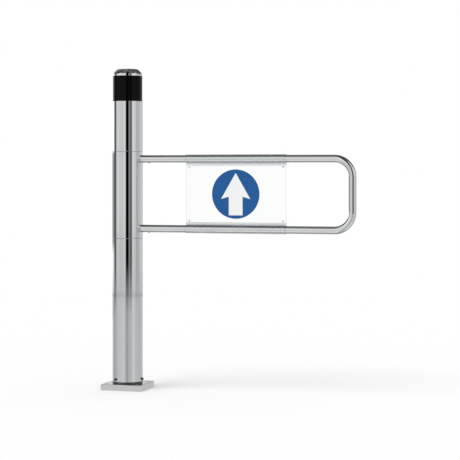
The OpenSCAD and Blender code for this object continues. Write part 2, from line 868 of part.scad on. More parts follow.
// Round plate on top of the spindle: it carries the motor, the board and the upper tube
module motor_plate() {
    color("lightsteelblue")
        difference() {
            tube(motor_plate_r, nut_thread_d / 2 + thread_gap, motor_plate_t, z_motor_plate);
            translate([0, 0, z_motor - nut_recess])
                cylinder(d = nut_d + 2 * nut_room, h = nut_recess + overrun);
            rotate([0, 0, drive_turn]) translate([drive_r, 0, z_motor_plate - overrun]) {
                cylinder(d = shaft_hole_d, h = motor_plate_t + 2 * overrun);
                at_turns([for (a = gearbox_screw_turns) a - 90], gearbox_screw_r)
                    cylinder(d = gearbox_screw_d + 2 * fit_gap, h = motor_plate_t + 2 * overrun);
            }
            at_turns(rod_turns, rod_r)
                translate([0, 0, z_motor - rod_hold - thread_gap])
                    cylinder(d = rod_d + 2 * thread_gap, h = rod_hold + overrun);
            at_turns([flag_turn, flag_turn + swing_angle], sensor_r)
                translate([0, 0, z_motor_plate - overrun])
                    cylinder(d = sensor_d + 2 * thread_gap, h = motor_plate_t + 2 * overrun);
            for (s = [-1, 1])
                translate([s * bracket_screw_x, bracket_screw_y, z_motor - bracket_screw_depth - fit_gap])
                    cylinder(d = bracket_screw_d + 2 * thread_gap, h = bracket_screw_depth + overrun);
        }
}

// Two sensors in the motor plate, one for closed and one for open
module position_sensors() {
    color("darkorange")
        at_turns([flag_turn, flag_turn + swing_angle], sensor_r)
            translate([0, 0, z_gear_top + flag_h + sensor_gap]) cylinder(d = sensor_d, h = sensor_len);
}

// Ring at the lower end of the upper tube
module upper_seam_ring() {
    ring_in_r = inside_r - seam_ring_wall;
    color("dimgray") {
        tube(lip_r, ring_in_r, seam_lip_t, z_upper_lip);
        tube(inside_r, ring_in_r, seam_ring_len, z_upper_tube);
    }
}

// Upper post tube
module upper_tube() {
    color("gainsboro") tube(post_r, bore_r, upper_tube_len, z_upper_tube);
}

// Ring inside the upper tube that sits on the motor plate
module upper_tube_ledge() {
    color("silver") tube(inside_r, inside_r - ledge_wall, ledge_h, z_motor);
}

// Places of the control board's four fixings, in the board's own plane
function board_fixings() = [for (s = [-1, 1], t = [0, 1])
    [s * (board_w / 2 - board_margin), z_board + board_margin + t * (board_h - 2 * board_margin)]];

z_board = z_motor + board_rise;
bracket_back_y = board_y + board_t + bracket_gap;
bracket_screw_y = bracket_back_y - bracket_foot / 2;

// Folded bracket that stands on the motor plate
module board_bracket() {
    color("silver")
        difference() {
            union() {
                translate([-bracket_w / 2, bracket_back_y, z_motor])
                    cube([bracket_w, bracket_t, board_rise + board_h]);
                translate([-bracket_w / 2, bracket_back_y - bracket_foot, z_motor])
                    cube([bracket_w, bracket_foot + bracket_t, bracket_t]);
            }
            translate([-bracket_notch / 2, bracket_back_y - bracket_foot - overrun, z_motor - overrun])
                cube([bracket_notch, bracket_foot + bracket_t + 2 * overrun, board_rise + overrun]);
            for (s = [-1, 1])
                translate([s * bracket_screw_x, bracket_screw_y, z_motor - overrun])
                    cylinder(d = bracket_screw_d + 2 * fit_gap, h = bracket_t + 2 * overrun);
            for (p = board_fixings())
                translate([p.x, bracket_back_y + bracket_t + overrun, p.y])
                    rotate([90, 0, 0])
                        cylinder(d = board_screw_d + 2 * thread_gap, h = bracket_t + 2 * overrun);
        }
}

// Screws through the bracket's foot
module bracket_screws() {
    color("dimgray")
        for (s = [-1, 1])
            translate([s * bracket_screw_x, bracket_screw_y, z_motor + bracket_t])
                cap_screw(bracket_screw_d, bracket_t + bracket_screw_depth - fit_gap,
                    bracket_screw_head_d, bracket_screw_head_h);
}

// Spacers between the bracket and the board
module board_standoffs() {
    color("goldenrod")
        for (p = board_fixings())
            translate([p.x, bracket_back_y, p.y])
                rotate([90, 0, 0])
                    tube(standoff_d / 2, board_screw_d / 2 + thread_gap, bracket_gap);
}

// Printed circuit board
module control_board() {
    color("seagreen")
        difference() {
            translate([-board_w / 2, board_y, z_board]) cube([board_w, board_t, board_h]);
            for (p = board_fixings())
                translate([p.x, board_y + board_t + overrun, p.y])
                    rotate([90, 0, 0]) cylinder(d = board_screw_d + 2 * fit_gap, h = board_t + 2 * overrun);
        }
}

// Screws through the board, its spacers and the bracket
module board_screws() {
    color("silver")
        for (p = board_fixings())
            translate([p.x, board_y, p.y])
                rotate([90, 0, 0])
                    cap_screw(board_screw_d, board_t + bracket_gap + bracket_t, board_screw_head_d,
                        board_screw_head_h);
}

// Two round capacitors on the board
module board_capacitors() {
    color("midnightblue")
        for (s = [-1, 1])
            translate([s * capacitor_x, board_y, z_board + capacitor_share * board_h])
                rotate([90, 0, 0]) cylinder(d = capacitor_d, h = capacitor_h);
}

// Finned heat sink on the board
module board_heat_sink() {
    pitch = (sink_w - sink_fin_t) / (sink_fins - 1);
    color("dimgray")
        translate([-sink_w / 2, board_y - sink_d, z_board + sink_share * board_h - sink_h / 2]) {
            translate([0, sink_d - sink_base_t, 0]) cube([sink_w, sink_base_t, sink_h]);
            for (i = [0 : sink_fins - 1])
                translate([i * pitch, 0, 0]) cube([sink_fin_t, sink_d, sink_h]);
        }
}

// Row of wire terminals on the board
module board_terminals() {
    pitch = terminal_w / terminal_ways;
    color("limegreen")
        translate([-terminal_w / 2, board_y - terminal_d,
                z_board + terminal_share * board_h - terminal_h / 2])
            difference() {
                cube([terminal_w, terminal_d, terminal_h]);
                for (i = [0 : terminal_ways - 1])
                    translate([pitch * (i + 1 / 2), -overrun, terminal_h / 2])
                        rotate([-90, 0, 0])
                            cylinder(d = terminal_hole_d, h = terminal_hole_depth + overrun);
            }
}

// Levels inside the head ring
z_recess = z_cap - recess_depth;
recess_r = head_d / 2 - recess_wall;
z_head_plate_top = z_recess + head_plate_t;

// Rods that clamp the head, the upper tube and the motor plate together
module tie_rods() {
    color("silver")
        at_turns(rod_turns, rod_r)
            translate([0, 0, z_motor - rod_hold])
                cylinder(d = rod_d, h = z_head_plate_top + rod_nut_h + rod_tail - z_motor + rod_hold);
}

// Nuts on the tie rods
module tie_nuts() {
    color("gainsboro")
        at_turns(rod_turns, rod_r)
            translate([0, 0, z_head_plate_top])
                difference() {
                    cylinder(d = rod_nut_w / cos(30), h = rod_nut_h, $fn = 6);
                    translate([0, 0, -overrun])
                        cylinder(d = rod_d + 2 * thread_gap, h = rod_nut_h + 2 * overrun);
                }
}

// Plate in the head ring that the tie rods pull down
module head_plate() {
    color("lightsteelblue")
        difference() {
            tube(recess_r - fit_gap, head_hole_d / 2, head_plate_t, z_recess);
            at_turns(rod_turns, rod_r)
                translate([0, 0, z_recess - overrun])
                    cylinder(d = rod_d + 4 * fit_gap, h = head_plate_t + 2 * overrun);
        }
}

// Folded bracket that hangs the motion sensor from the head plate
module sensor_bracket() {
    color("silver") {
        translate([-sensor_bracket_w / 2, sensor_bracket_y, z_recess - sensor_bracket_drop])
            cube([sensor_bracket_w, bracket_t, sensor_bracket_drop]);
        translate([-sensor_bracket_w / 2, sensor_bracket_y, z_recess - bracket_t])
            cube([sensor_bracket_w, sensor_bracket_foot, bracket_t]);
    }
}

// Board of the motion sensor, behind the black ring
module motion_sensor_board() {
    color("seagreen")
        translate([-sensor_board_w / 2, sensor_bracket_y - board_t, z_recess - sensor_bracket_drop])
            cube([sensor_board_w, board_t, sensor_board_h]);
}

// Shielded motion sensor with its round window
module motion_sensor() {
    z_mid = z_recess - sensor_bracket_drop + sensor_board_h / 2;
    y_front = sensor_bracket_y - board_t - sensor_can_d;
    color("gainsboro") {
        translate([-sensor_can_w / 2, y_front, z_mid - sensor_can_h / 2])
            cube([sensor_can_w, sensor_can_d, sensor_can_h]);
        translate([0, y_front + overrun, z_mid]) rotate([90, 0, 0])
            cylinder(d = sensor_lens_d, h = sensor_lens_t + overrun);
    }
}

// Black ring at the head, through which the motion sensor looks
module head_ring() {
    out_r = head_d / 2;
    in_r = out_r - head_wall;
    color("black")
        rotate_extrude()
            polygon([[in_r, z_head - head_plug_len], [inside_r, z_head - head_plug_len], [inside_r, z_head],
                [out_r, z_head], [out_r, z_cap], [recess_r, z_cap], [recess_r, z_recess],
                [recess_r - ledge_in, z_recess], [recess_r - ledge_in, z_recess - head_ledge_t],
                [in_r, z_recess - 2 * head_ledge_t]]);
}

// Outline points of the cap: up the rim, over the shoulder and across the crown, t inside the surface
function cap_outline(t) = let (
        rim_r = cap_d / 2 - t, rim_z = z_cap + cap_rim_h,
        crown_r = cap_crown_d / 2 - t / 2, crown_z = z_cap + cap_h - crown_rise - t)
    concat(
        [for (i = [0 : cap_arc_steps])
            let (s = i / cap_arc_steps, lift = shoulder_bulge * sin(180 * s) / sqrt(2))
            [rim_r + (crown_r - rim_r) * s + lift, rim_z + (crown_z - rim_z) * s + lift]],
        [for (i = [1 : crown_steps]) let (s = i / crown_steps)
            [crown_r * (1 - s), crown_z + crown_rise * sin(90 * s)]]);

// Domed cap with a plug that pushes into the head ring
module cap() {
    plug_r = recess_r - fit_gap;
    groove_z = z_cap - ring_drop;
    inner = cap_outline(cap_wall);
    color("gainsboro")
        difference() {
            rotate_extrude()
                polygon(concat(
                    [[plug_r - cap_plug_wall, z_cap - cap_plug_len], [plug_r, z_cap - cap_plug_len],
                        [plug_r, z_cap], [cap_d / 2, z_cap]],
                    cap_outline(0),
                    [for (i = [len(inner) - 1 : -1 : 0]) inner[i]],
                    [[cap_d / 2 - cap_wall, z_cap + cap_wall],
                        [plug_r - cap_plug_wall, z_cap + cap_wall]]));
            rotate_extrude()
                translate([plug_r - ring_groove_depth, groove_z - ring_cord_d / 2 - thread_gap])
                    square([ring_groove_depth + overrun, ring_cord_d + 2 * thread_gap]);
        }
}

// Rubber ring in the cap's groove
module cap_seal() {
    color("black")
        rotate_extrude()
            translate([recess_r - thread_gap / 2 - ring_groove_depth / 2, z_cap - ring_drop])
                circle(d = ring_groove_depth, $fn = ball_fn);
}

// Spigots screwed through the sleeve into the hubs: the arm's tube slides over them
module arm_spigots() {
    color("silver")
        for (z = [z_arm_low, z_arm_top])
            translate([0, 0, z]) {
                translate([tail_end_r + tail_gap, 0, 0]) rotate([0, 90, 0])
                    cylinder(d = tail_d, h = post_r - tail_end_r);
                difference() {
                    translate([post_r, 0, 0]) rotate([0, 90, 0]) cylinder(r = spigot_r, h = arm_spigot_len);
                    translate([grub_x, 0, -spigot_r - overrun])
                        cylinder(d = grub_d + 2 * thread_gap, h = grub_bite + overrun);
                }
            }
}

// Round bar of radius r along the arm's bent path
module arm_bar(r) {
    corner_x = arm_reach - arm_bend_r;
    for (z = [z_arm_low, z_arm_top])
        translate([0, 0, z]) rotate([0, 90, 0]) cylinder(r = r, h = corner_x);
    translate([arm_reach, 0, z_arm_low + arm_bend_r]) cylinder(r = r, h = arm_spacing - 2 * arm_bend_r);
    translate([corner_x, 0, z_arm_top - arm_bend_r])
        rotate([90, 0, 0]) rotate_extrude(angle = 90) translate([arm_bend_r, 0]) circle(r = r);
    translate([corner_x, 0, z_arm_low + arm_bend_r])
        rotate([90, 0, 0]) rotate([0, 0, -90])
            rotate_extrude(angle = 90) translate([arm_bend_r, 0]) circle(r = r);
}

// Bent tube of the arm, coped to the sleeve
module arm_tube() {
    color("gainsboro")
        difference() {
            arm_bar(arm_d / 2);
            arm_bar(arm_d / 2 - arm_wall);
            translate([0, 0, z_sleeve]) cylinder(r = post_r + cope_gap, h = sleeve_len);
            for (z = [z_arm_low, z_arm_top])
                translate([grub_x, 0, z - arm_d / 2 - overrun])
                    cylinder(d = grub_d + 2 * thread_gap, h = arm_wall + 2 * overrun);
        }
}

// Grub screws under the arm, one for each spigot
module arm_grub_screws() {
    socket_share = 0.5;
    grub_len = arm_d / 2 + grub_show - spigot_r + grub_bite - fit_gap;
    color("dimgray")
        for (z = [z_arm_low, z_arm_top])
            translate([grub_x, 0, z - arm_d / 2 - grub_show])
                difference() {
                    cylinder(d = grub_d, h = grub_len);
                    translate([0, 0, -overrun])
                        cylinder(d = grub_d * socket_share, h = grub_len * socket_share + overrun, $fn = 6);
                }
}

// Distance from a tube's axis to where a sloping face, r out from the axis, comes within w of the middle
function neck_end(r, w) = (r - w * cos(pinch_turn)) / sin(pinch_turn);

// Outline round one level tube, r out from its axis, whose neck narrows to w each side of the middle
module neck_outline(r, w) {
    side = [r * cos(pinch_turn), r * sin(pinch_turn)];
    end = neck_end(r, w);
    tip = w > 0 ? [[w, end], [-w, end]] : [[0, end]];
    circle(r = r);
    polygon(concat([side], tip, [[-side.x, side.y]]));
}

// Puts a neck's outline round both level tubes, pointing at each other
module at_tubes() {
    translate([0, z_arm_low]) children();
    translate([0, z_arm_top]) rotate(180) children();
}

// Clear sheet wrapped round both level tubes, its two faces pressed together in between
module sign_panel() {
    color("aliceblue", 0.5)
        translate([panel_x - panel_w / 2, 0, 0])
            rotate([90, 0, 90])
                linear_extrude(height = panel_w)
                    difference() {
                        union() {
                            at_tubes() neck_outline(wrap_out_r, sheet_t);
                            translate([-sheet_t, z_arm_low + pinch_drop])
                                square([2 * sheet_t, arm_spacing - 2 * pinch_drop]);
                        }
                        at_tubes() neck_outline(wrap_r, 0);
                    }
}

// Arrow's outline, pointing up
module arrow_outline() {
    r = disc_d / 2;
    side = [[arrow_barb_x_share, arrow_barb_z_share], [arrow_shaft_share, arrow_notch_z_share],
        [arrow_shaft_share, arrow_foot_share]];
    polygon(concat([[0, arrow_tip_share * r]], [for (p = side) p * r],
        [for (i = [2 : -1 : 0]) [-side[i].x * r, side[i].y * r]]));
}

// Puts a flat outline on the front of the panel, at the disc's centre
module on_panel() {
    translate([panel_x + disc_shift, -sheet_t, z_arm_mid])
        rotate([90, 0, 0]) linear_extrude(height = film_t) children();
}

// Blue disc, cut out where the arrow lies
module sign_disc() {
    color("steelblue")
        on_panel()
            difference() {
                circle(d = disc_d);
                arrow_outline();
            }
}

// White arrow in the disc's cut-out
module sign_arrow() {
    color("white") on_panel() arrow_outline();
}

base_plate();
spigot_screws();
foot_spigot();
foot_screws();
lower_tube();
spindle_seat();
spindle();
spindle_screws();
spindle_circlip();
spindle_nut();
lower_bearing_inner_ring();
lower_bearing_outer_ring();
lower_bearing_balls();
lower_bearing_cage();
upper_bearing_inner_ring();
upper_bearing_outer_ring();
upper_bearing_balls();
upper_bearing_cage();
stop_pins();
stop_buffers();
stop_dog();
sleeve();
lower_hub();
upper_hub();
ring_gear();
ring_gear_screws();
sensor_flag();
drive_pinion();
motor_shaft();
gearbox();
gearbox_screws();
motor_can();
motor_plate();
position_sensors();
upper_seam_ring();
upper_tube();
upper_tube_ledge();
board_bracket();
bracket_screws();
board_standoffs();
control_board();
board_screws();
board_capacitors();
board_heat_sink();
board_terminals();
tie_rods();
tie_nuts();
head_plate();
sensor_bracket();
motion_sensor_board();
motion_sensor();
head_ring();
cap_seal();
cap();
arm_spigots();
arm_tube();
arm_grub_screws();
sign_panel();
sign_disc();
sign_arrow();
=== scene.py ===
"""Pedestrian swing gate: the looks of its chromed post, arm and sign, built round the CAD frame."""

import json
import logging
import math
from collections.abc import Iterable, Mapping, Sequence
from dataclasses import dataclass, field
from enum import Enum

import bmesh
import bpy
from mathutils import Euler, Matrix, Vector


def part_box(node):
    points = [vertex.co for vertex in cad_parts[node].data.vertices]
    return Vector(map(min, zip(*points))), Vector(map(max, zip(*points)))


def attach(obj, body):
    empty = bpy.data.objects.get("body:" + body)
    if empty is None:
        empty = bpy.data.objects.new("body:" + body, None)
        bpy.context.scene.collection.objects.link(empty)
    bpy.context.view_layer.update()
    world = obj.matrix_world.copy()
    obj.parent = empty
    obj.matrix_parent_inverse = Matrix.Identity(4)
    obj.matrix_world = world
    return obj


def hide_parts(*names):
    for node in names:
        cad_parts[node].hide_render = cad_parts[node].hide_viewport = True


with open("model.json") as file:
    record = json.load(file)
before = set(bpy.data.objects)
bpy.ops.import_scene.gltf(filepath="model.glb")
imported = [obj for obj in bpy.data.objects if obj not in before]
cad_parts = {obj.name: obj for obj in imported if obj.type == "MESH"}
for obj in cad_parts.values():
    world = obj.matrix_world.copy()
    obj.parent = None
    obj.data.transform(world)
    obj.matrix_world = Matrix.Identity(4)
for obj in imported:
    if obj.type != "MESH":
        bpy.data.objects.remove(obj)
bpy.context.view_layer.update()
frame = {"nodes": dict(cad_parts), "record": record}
LOG = logging.getLogger("swing_gate")
MM = 0.001
TUBE_WALL = 2.0 * MM
FIT_GAP = 0.1 * MM
WELD = MM / 500
ON_AXIS = MM / 1000
RING_STEPS = 192
HOLE_STEPS = 48
SCREW_STEPS = 30
# A wave texture of scale one has this many metres from ring to ring
WAVE_PERIOD = 2 * math.pi / 20

Point = tuple[float, float]
Piece = bpy.types.Object
Tree = bpy.types.NodeTree
Socket = bpy.types.NodeSocket
Settings = Mapping[str | int, object]
Links = Mapping[str | int, Socket]


class Body(Enum):
    """The CAD bodies that the visible pieces ride on."""

    POST = "post"
    ARM = "arm"


class Pattern(Enum):
    """How a finish's fine pattern runs: the texture node, its stretch along X, Y and Z, and its output."""

    CLOUDS = ("ShaderNodeTexNoise", (1.0, 1.0, 1.0), 0)
    DRAWN_UP = ("ShaderNodeTexNoise", (1.0, 1.0, 0.03), 0)
    BRUSHED_ALONG = ("ShaderNodeTexNoise", (0.03, 1.0, 1.0), 0)
    TURNED = ("ShaderNodeTexWave", (1.0, 1.0, 1.0), "Fac")
    CELLS = ("ShaderNodeTexVoronoi", (1.0, 1.0, 1.0), "Distance")


# Nodes and colours


def linear(code: str) -> tuple[float, float, float, float]:
    """Turns an sRGB hex code, with its hash, into linear red, green, blue and an alpha of one."""
    parts = [int(code[i:i + 2], 16) / 255 for i in (1, 3, 5)]
    return (*[p / 12.92 if p <= 0.04045 else ((p + 0.055) / 1.055) ** 2.4 for p in parts], 1.0)


def add_node(tree: Tree, kind: str, settings: Settings | None = None,
             links: Links | None = None) -> bpy.types.Node:
    """Adds one node with its settings and its incoming links.

    Args:
        tree: the node tree.
        kind: the node's type.
        settings: properties by their lower-case name, and socket values by socket name or index.
        links: output sockets by the input socket that they feed.

    Returns:
        The new node.
    """
    node = tree.nodes.new(kind)
    for key, value in (settings or {}).items():
        if isinstance(key, str) and key[0].islower():
            setattr(node, key, value)
        else:
            node.inputs[key].default_value = value
    for key, socket in (links or {}).items():
        tree.links.new(socket, node.inputs[key])
    return node


def read_stops(tree: Tree, value: Socket, stops: Sequence[Point]) -> Socket:
    """Reads a level from a list of stops, with straight lines between them.

    Args:
        tree: the node tree.
        value: what the stops are measured by.
        stops: pairs of a value and its level, in order.

    Returns:
        The level.
    """
    low, high, top = stops[0][0], stops[-1][0], max(level for _, level in stops)
    share = add_node(tree, "ShaderNodeMapRange", {"From Min": low, "From Max": high}, {"Value": value})
    ramp = add_node(tree, "ShaderNodeValToRGB", None, {"Fac": share.outputs[0]})
    bands = ramp.color_ramp.elements
    for place, _ in stops[1:-1]:
        bands.new((place - low) / (high - low))
    for stop, (_, level) in zip(bands, stops):
        stop.color = (level / top, level / top, level / top, 1)
    scaled = add_node(tree, "ShaderNodeMath", {"operation": "MULTIPLY", 1: top}, {0: ramp.outputs["Color"]})
    return scaled.outputs[0]


# Finishes


@dataclass(frozen=True)
class Finish:
    """A surface finish: what it is made of, how it was worked, and the size of its pattern."""

    name: str
    colour: str
    shift: str
    metallic: float = 0.0
    roughness: float = 0.4
    roughness_swing: float = 0.06
    pattern: Pattern = Pattern.CLOUDS
    grain_mm: float = 6.0
    relief_mm: float = 0.0
    specular: float = 0.5
    ior: float = 1.5
    transmission: float = 0.0

    def build(self) -> bpy.types.Material:
        """Makes the material once, named for its finish, and returns it."""
        made = bpy.data.materials.get(self.name)
        if made:
            return made
        material = bpy.data.materials.new(self.name)
        material.use_nodes = True
        tree = material.node_tree
        shader = tree.nodes["Principled BSDF"]
        fac = self._texture(tree)
        blend = add_node(tree, "ShaderNodeMix",
                         {"data_type": "RGBA", 6: linear(self.colour), 7: linear(self.shift)}, {0: fac})
        rough = add_node(tree, "ShaderNodeMapRange",
                         {"To Min": max(0.0, self.roughness - self.roughness_swing / 2),
                          "To Max": self.roughness + self.roughness_swing / 2}, {"Value": fac})
        tree.links.new(blend.outputs[2], shader.inputs["Base Color"])
        tree.links.new(rough.outputs[0], shader.inputs["Roughness"])
        if self.relief_mm:
            bump = add_node(tree, "ShaderNodeBump", {"Strength": 1.0, "Distance": self.relief_mm * MM},
                            {"Height": fac})
            tree.links.new(bump.outputs[0], shader.inputs["Normal"])
        self._constants(shader)
        return material

    def _texture(self, tree: Tree) -> Socket:
        """Adds the pattern, from Object coordinates at its real size, and returns its value."""
        kind, stretch, output = self.pattern.value
        place = add_node(tree, "ShaderNodeTexCoord").outputs["Object"]
        turned = add_node(tree, "ShaderNodeMapping", {"Scale": stretch}, {"Vector": place})
        settings: dict[str, object] = {"Scale": 1 / (self.grain_mm * MM), "Detail": 3.0}
        if self.pattern is Pattern.TURNED:
            settings = {"wave_type": "RINGS", "rings_direction": "Z", "Distortion": 1.2, "Detail": 2.0,
                        "Detail Scale": 2.0, "Scale": WAVE_PERIOD / (self.grain_mm * MM)}
        elif self.pattern is Pattern.CELLS:
            settings = {"Scale": 1 / (self.grain_mm * MM)}
        return add_node(tree, kind, settings, {"Vector": turned.outputs[0]}).outputs[output]

    def _constants(self, shader: bpy.types.Node) -> None:
        """Sets what is the same all over the surface on the Principled shader's own sockets."""
        shader.inputs["Metallic"].default_value = self.metallic
        shader.inputs["Specular IOR Level"].default_value = self.specular
        shader.inputs["Transmission Weight"].default_value = self.transmission
        if not self.metallic:
            shader.inputs["IOR"].default_value = self.ior


# Nickel-chrome plate on polished steel tube: a clean mirror with a breath of handling smears.
MIRROR_CHROME = Finish("mirror_chrome_plate", "#C6C8CA", "#CDCFD0", 1.0, 0.03, 0.02, grain_mm=60.0)
# Ground and polished stainless plate: bright, with fine grinding lines that soften the mirror.
POLISHED_STAINLESS = Finish("polished_stainless_plate", "#C3C4C4", "#D2D3D3", 1.0, 0.16, 0.10,
                            Pattern.BRUSHED_ALONG, 1.2, 0.004)
# Infrared-clear black polycarbonate, moulded glossy: near black, with dim clean reflections.
BLACK_POLYCARBONATE = Finish("gloss_black_polycarbonate", "#070708", "#0A0A0B", 0.0, 0.08, 0.03,
                             grain_mm=40.0, specular=0.045, ior=1.58)
# Black-oxide steel, oiled: soft dark grey-black with a dull shine on its edges.
BLACK_OXIDE = Finish("black_oxide_steel", "#3A3C3D", "#464849", 0.0, 0.42, 0.16, grain_mm=2.0,
                     relief_mm=0.01, specular=0.6)
# Bright steel as it leaves the lathe: fine turning rings that catch the light.
TURNED_STEEL = Finish("bright_turned_steel", "#A9ABAD", "#C6C8CA", 1.0, 0.22, 0.12,
                      Pattern.TURNED, 0.8, 0.003)
# Clear cast acrylic sheet with flame-polished edges: almost nothing but its reflections.
CLEAR_ACRYLIC = Finish("clear_cast_acrylic", "#FBFDFC", "#FDFEFD", 0.0, 0.01, 0.01, grain_mm=80.0, ior=1.49,
                       transmission=1.0)
# Natural nylon push rivets: milky grey and soft against the clear sheet.
CLEAR_NYLON = Finish("natural_nylon", "#D2D5D8", "#DCDFE1", 0.0, 0.35, 0.08, grain_mm=2.0, transmission=0.4)
# Printed blue vinyl film: even and saturated under a thin gloss, with faint mottling of the ink.
BLUE_VINYL = Finish("printed_blue_vinyl", "#1E5A9B", "#2660A1", 0.0, 0.45, 0.08, grain_mm=9.0,
                    relief_mm=0.01, specular=0.15)
# White vinyl film: bright, a little softer than the print beside it.
WHITE_VINYL = Finish("white_vinyl_film", "#F8FAFC", "#FCFDFE", 0.0, 0.35, 0.08, grain_mm=9.0, relief_mm=0.01)
# Turned aluminium: paler and softer than steel, with lathe rings.
TURNED_ALUMINIUM = Finish("turned_aluminium", "#D0D1D2", "#DEDFE0", 1.0, 0.28, 0.1,
                          Pattern.TURNED, 1.0, 0.004)
# Ground and honed bearing steel: a fine dark mirror.
BEARING_STEEL = Finish("honed_bearing_steel", "#B4B6B8", "#C2C4C6", 1.0, 0.1, 0.05, grain_mm=1.0)
# Machined brass: warm yellow, with lathe rings.
MACHINED_BRASS = Finish("machined_brass", "#C9A25A", "#D8B46A", 1.0, 0.24, 0.1, Pattern.TURNED, 0.7, 0.003)
# Moulded black rubber: dead matt, slightly dusty.
BLACK_RUBBER = Finish("moulded_black_rubber", "#161616", "#232323", 0.0, 0.75, 0.12,
                      grain_mm=1.5, relief_mm=0.02)
# Cut gear steel with a film of oil: darker, streaked along the teeth.
GEAR_STEEL = Finish("oiled_gear_steel", "#85878A", "#9C9EA1", 1.0, 0.26, 0.12, Pattern.DRAWN_UP, 1.5, 0.004)
# Baked grey enamel on the drive: even, with a slight orange peel.
MOTOR_ENAMEL = Finish("baked_grey_enamel", "#3A3B3E", "#444548", 0.0, 0.35, 0.06,
                      grain_mm=3.0, relief_mm=0.02)
# Bright zinc plate: bluish silver with small crystals.
ZINC_PLATE = Finish("bright_zinc_plate", "#AEB4B9", "#C2C6C6", 1.0, 0.3, 0.14, Pattern.CELLS, 5.0)
# Solder-masked glass-fibre board: deep green gloss with the weave's faint mottling.
SOLDER_MASK = Finish("green_solder_mask", "#1D5A32", "#24683B", 0.0, 0.28, 0.1, Pattern.CELLS, 2.0, 0.01)
# Dark blue shrink sleeve on the capacitors.
SHRINK_SLEEVE = Finish("dark_blue_shrink_sleeve", "#1B2144", "#252C55", 0.0, 0.3, 0.08, grain_mm=4.0)
# Black-anodised aluminium: satin, with the extrusion's lines.
BLACK_ANODISED = Finish("black_anodised_aluminium", "#1F2021", "#2A2B2C", 1.0, 0.42, 0.1,
                        Pattern.DRAWN_UP, 1.0, 0.005)
# Moulded green nylon of the terminals.
GREEN_NYLON = Finish("moulded_green_nylon", "#2C8A48", "#349450", 0.0, 0.45, 0.08,
                     grain_mm=2.0, relief_mm=0.01)
# Orange moulded sleeve of the position sensors.
ORANGE_NYLON = Finish("moulded_orange_nylon", "#D8641E", "#E07028", 0.0, 0.4, 0.08,
                      grain_mm=2.0, relief_mm=0.01)

FINISH_OF_SLOT: dict[str, Finish] = {
    "chrome_tube": MIRROR_CHROME,
    "polished_plate": POLISHED_STAINLESS,
    "black_gloss": BLACK_POLYCARBONATE,
    "clear_sheet": CLEAR_ACRYLIC,
    "blue_film": BLUE_VINYL,
    "white_film": WHITE_VINYL,
    "black_oxide": BLACK_OXIDE,
    "turned_steel": TURNED_STEEL,
    "hub_aluminium": TURNED_ALUMINIUM,
    "bearing_steel": BEARING_STEEL,
    "cage_brass": MACHINED_BRASS,
    "spacer_brass": MACHINED_BRASS,
    "buffer_rubber": BLACK_RUBBER,
    "gear_steel": GEAR_STEEL,
    "motor_paint": MOTOR_ENAMEL,
    "zinc_plate": ZINC_PLATE,
    "board_green": SOLDER_MASK,
    "capacitor_sleeve": SHRINK_SLEEVE,
    "sink_aluminium": BLACK_ANODISED,
    "terminal_green": GREEN_NYLON,
    "sensor_orange": ORANGE_NYLON,
}


# Shapes


def fillet(outline: Sequence[Point], radius: float, steps: int = 5) -> list[Point]:
    """Rounds every corner of a closed outline that has room for the radius.

    Args:
        outline: the corners in order.
        radius: the fillet's radius.
        steps: the number of steps in each arc.

    Returns:
        The rounded outline.
    """
    rounded: list[Point] = []
    for i, corner in enumerate(outline):
        here = Vector(corner)
        back = Vector(outline[i - 1]) - here
        ahead = Vector(outline[(i + 1) % len(outline)]) - here
        half = back.angle(ahead) / 2
        reach = radius / math.tan(half)
        if reach < ON_AXIS / 10 or reach > min(back.length, ahead.length) / 2:
            rounded.append(corner)
            continue
        centre = here + (back.normalized() + ahead.normalized()).normalized() * radius / math.sin(half)
        first = here + back.normalized() * reach - centre
        last = here + ahead.normalized() * reach - centre
        turn = math.atan2(first.x * last.y - first.y * last.x, first.dot(last))
        for k in range(steps + 1):
            spoke = first.copy()
            spoke.rotate(Matrix.Rotation(turn * k / steps, 2))
            rounded.append(tuple(centre + spoke))
    return rounded


def arc(centre: Point, radius: float, start: float, end: float, steps: int) -> list[Point]:
    """Gives the points of an arc, both ends included.

    Args:
        centre: the arc's centre.
        radius: its radius.
        start: the first angle, in degrees.
        end: the last angle, in degrees.
        steps: the number of steps.

    Returns:
        The points.
    """
    turns = [math.radians(start + (end - start) * i / steps) for i in range(steps + 1)]
    return [(centre[0] + radius * math.cos(t), centre[1] + radius * math.sin(t)) for t in turns]


def circle(centre: Point, radius: float, steps: int = 96) -> list[Point]:
    """Gives a full circle, counter-clockwise, without repeating its first point."""
    return arc(centre, radius, 0, 360, steps)[:-1]


def dress(piece: Piece, finish: Finish, sharp_deg: float) -> None:
    """Gives a piece its finish, clean outward faces and smooth shading that keeps flats flat.

    Args:
        piece: the mesh object, with its place in its mesh.
        finish: the finish.
        sharp_deg: edges that turn by more than this stay sharp.
    """
    mesh = bmesh.new()
    mesh.from_mesh(piece.data)
    bmesh.ops.remove_doubles(mesh, verts=mesh.verts, dist=WELD)
    bmesh.ops.dissolve_degenerate(mesh, edges=mesh.edges, dist=WELD)
    bmesh.ops.recalc_face_normals(mesh, faces=mesh.faces)
    for face in mesh.faces:
        face.smooth = True
        face.material_index = 0
    for edge in mesh.edges:
        edge.smooth = len(edge.link_faces) == 2 and edge.calc_face_angle(0.0) < math.radians(sharp_deg)
    mesh.to_mesh(piece.data)
    mesh.free()
    piece.data.materials.clear()
    piece.data.materials.append(finish.build())
    weigh = piece.modifiers.new("weigh", "WEIGHTED_NORMAL")
    weigh.keep_sharp = True
    bake(piece)


def bake(piece: Piece) -> None:
    """Replaces a piece's mesh by its evaluated mesh and removes its modifiers."""
    graph = bpy.context.evaluated_depsgraph_get()
    graph.update()
    final = bpy.data.meshes.new_from_object(piece.evaluated_get(graph))
    piece.modifiers.clear()
    piece.data = final
    final.name = piece.name


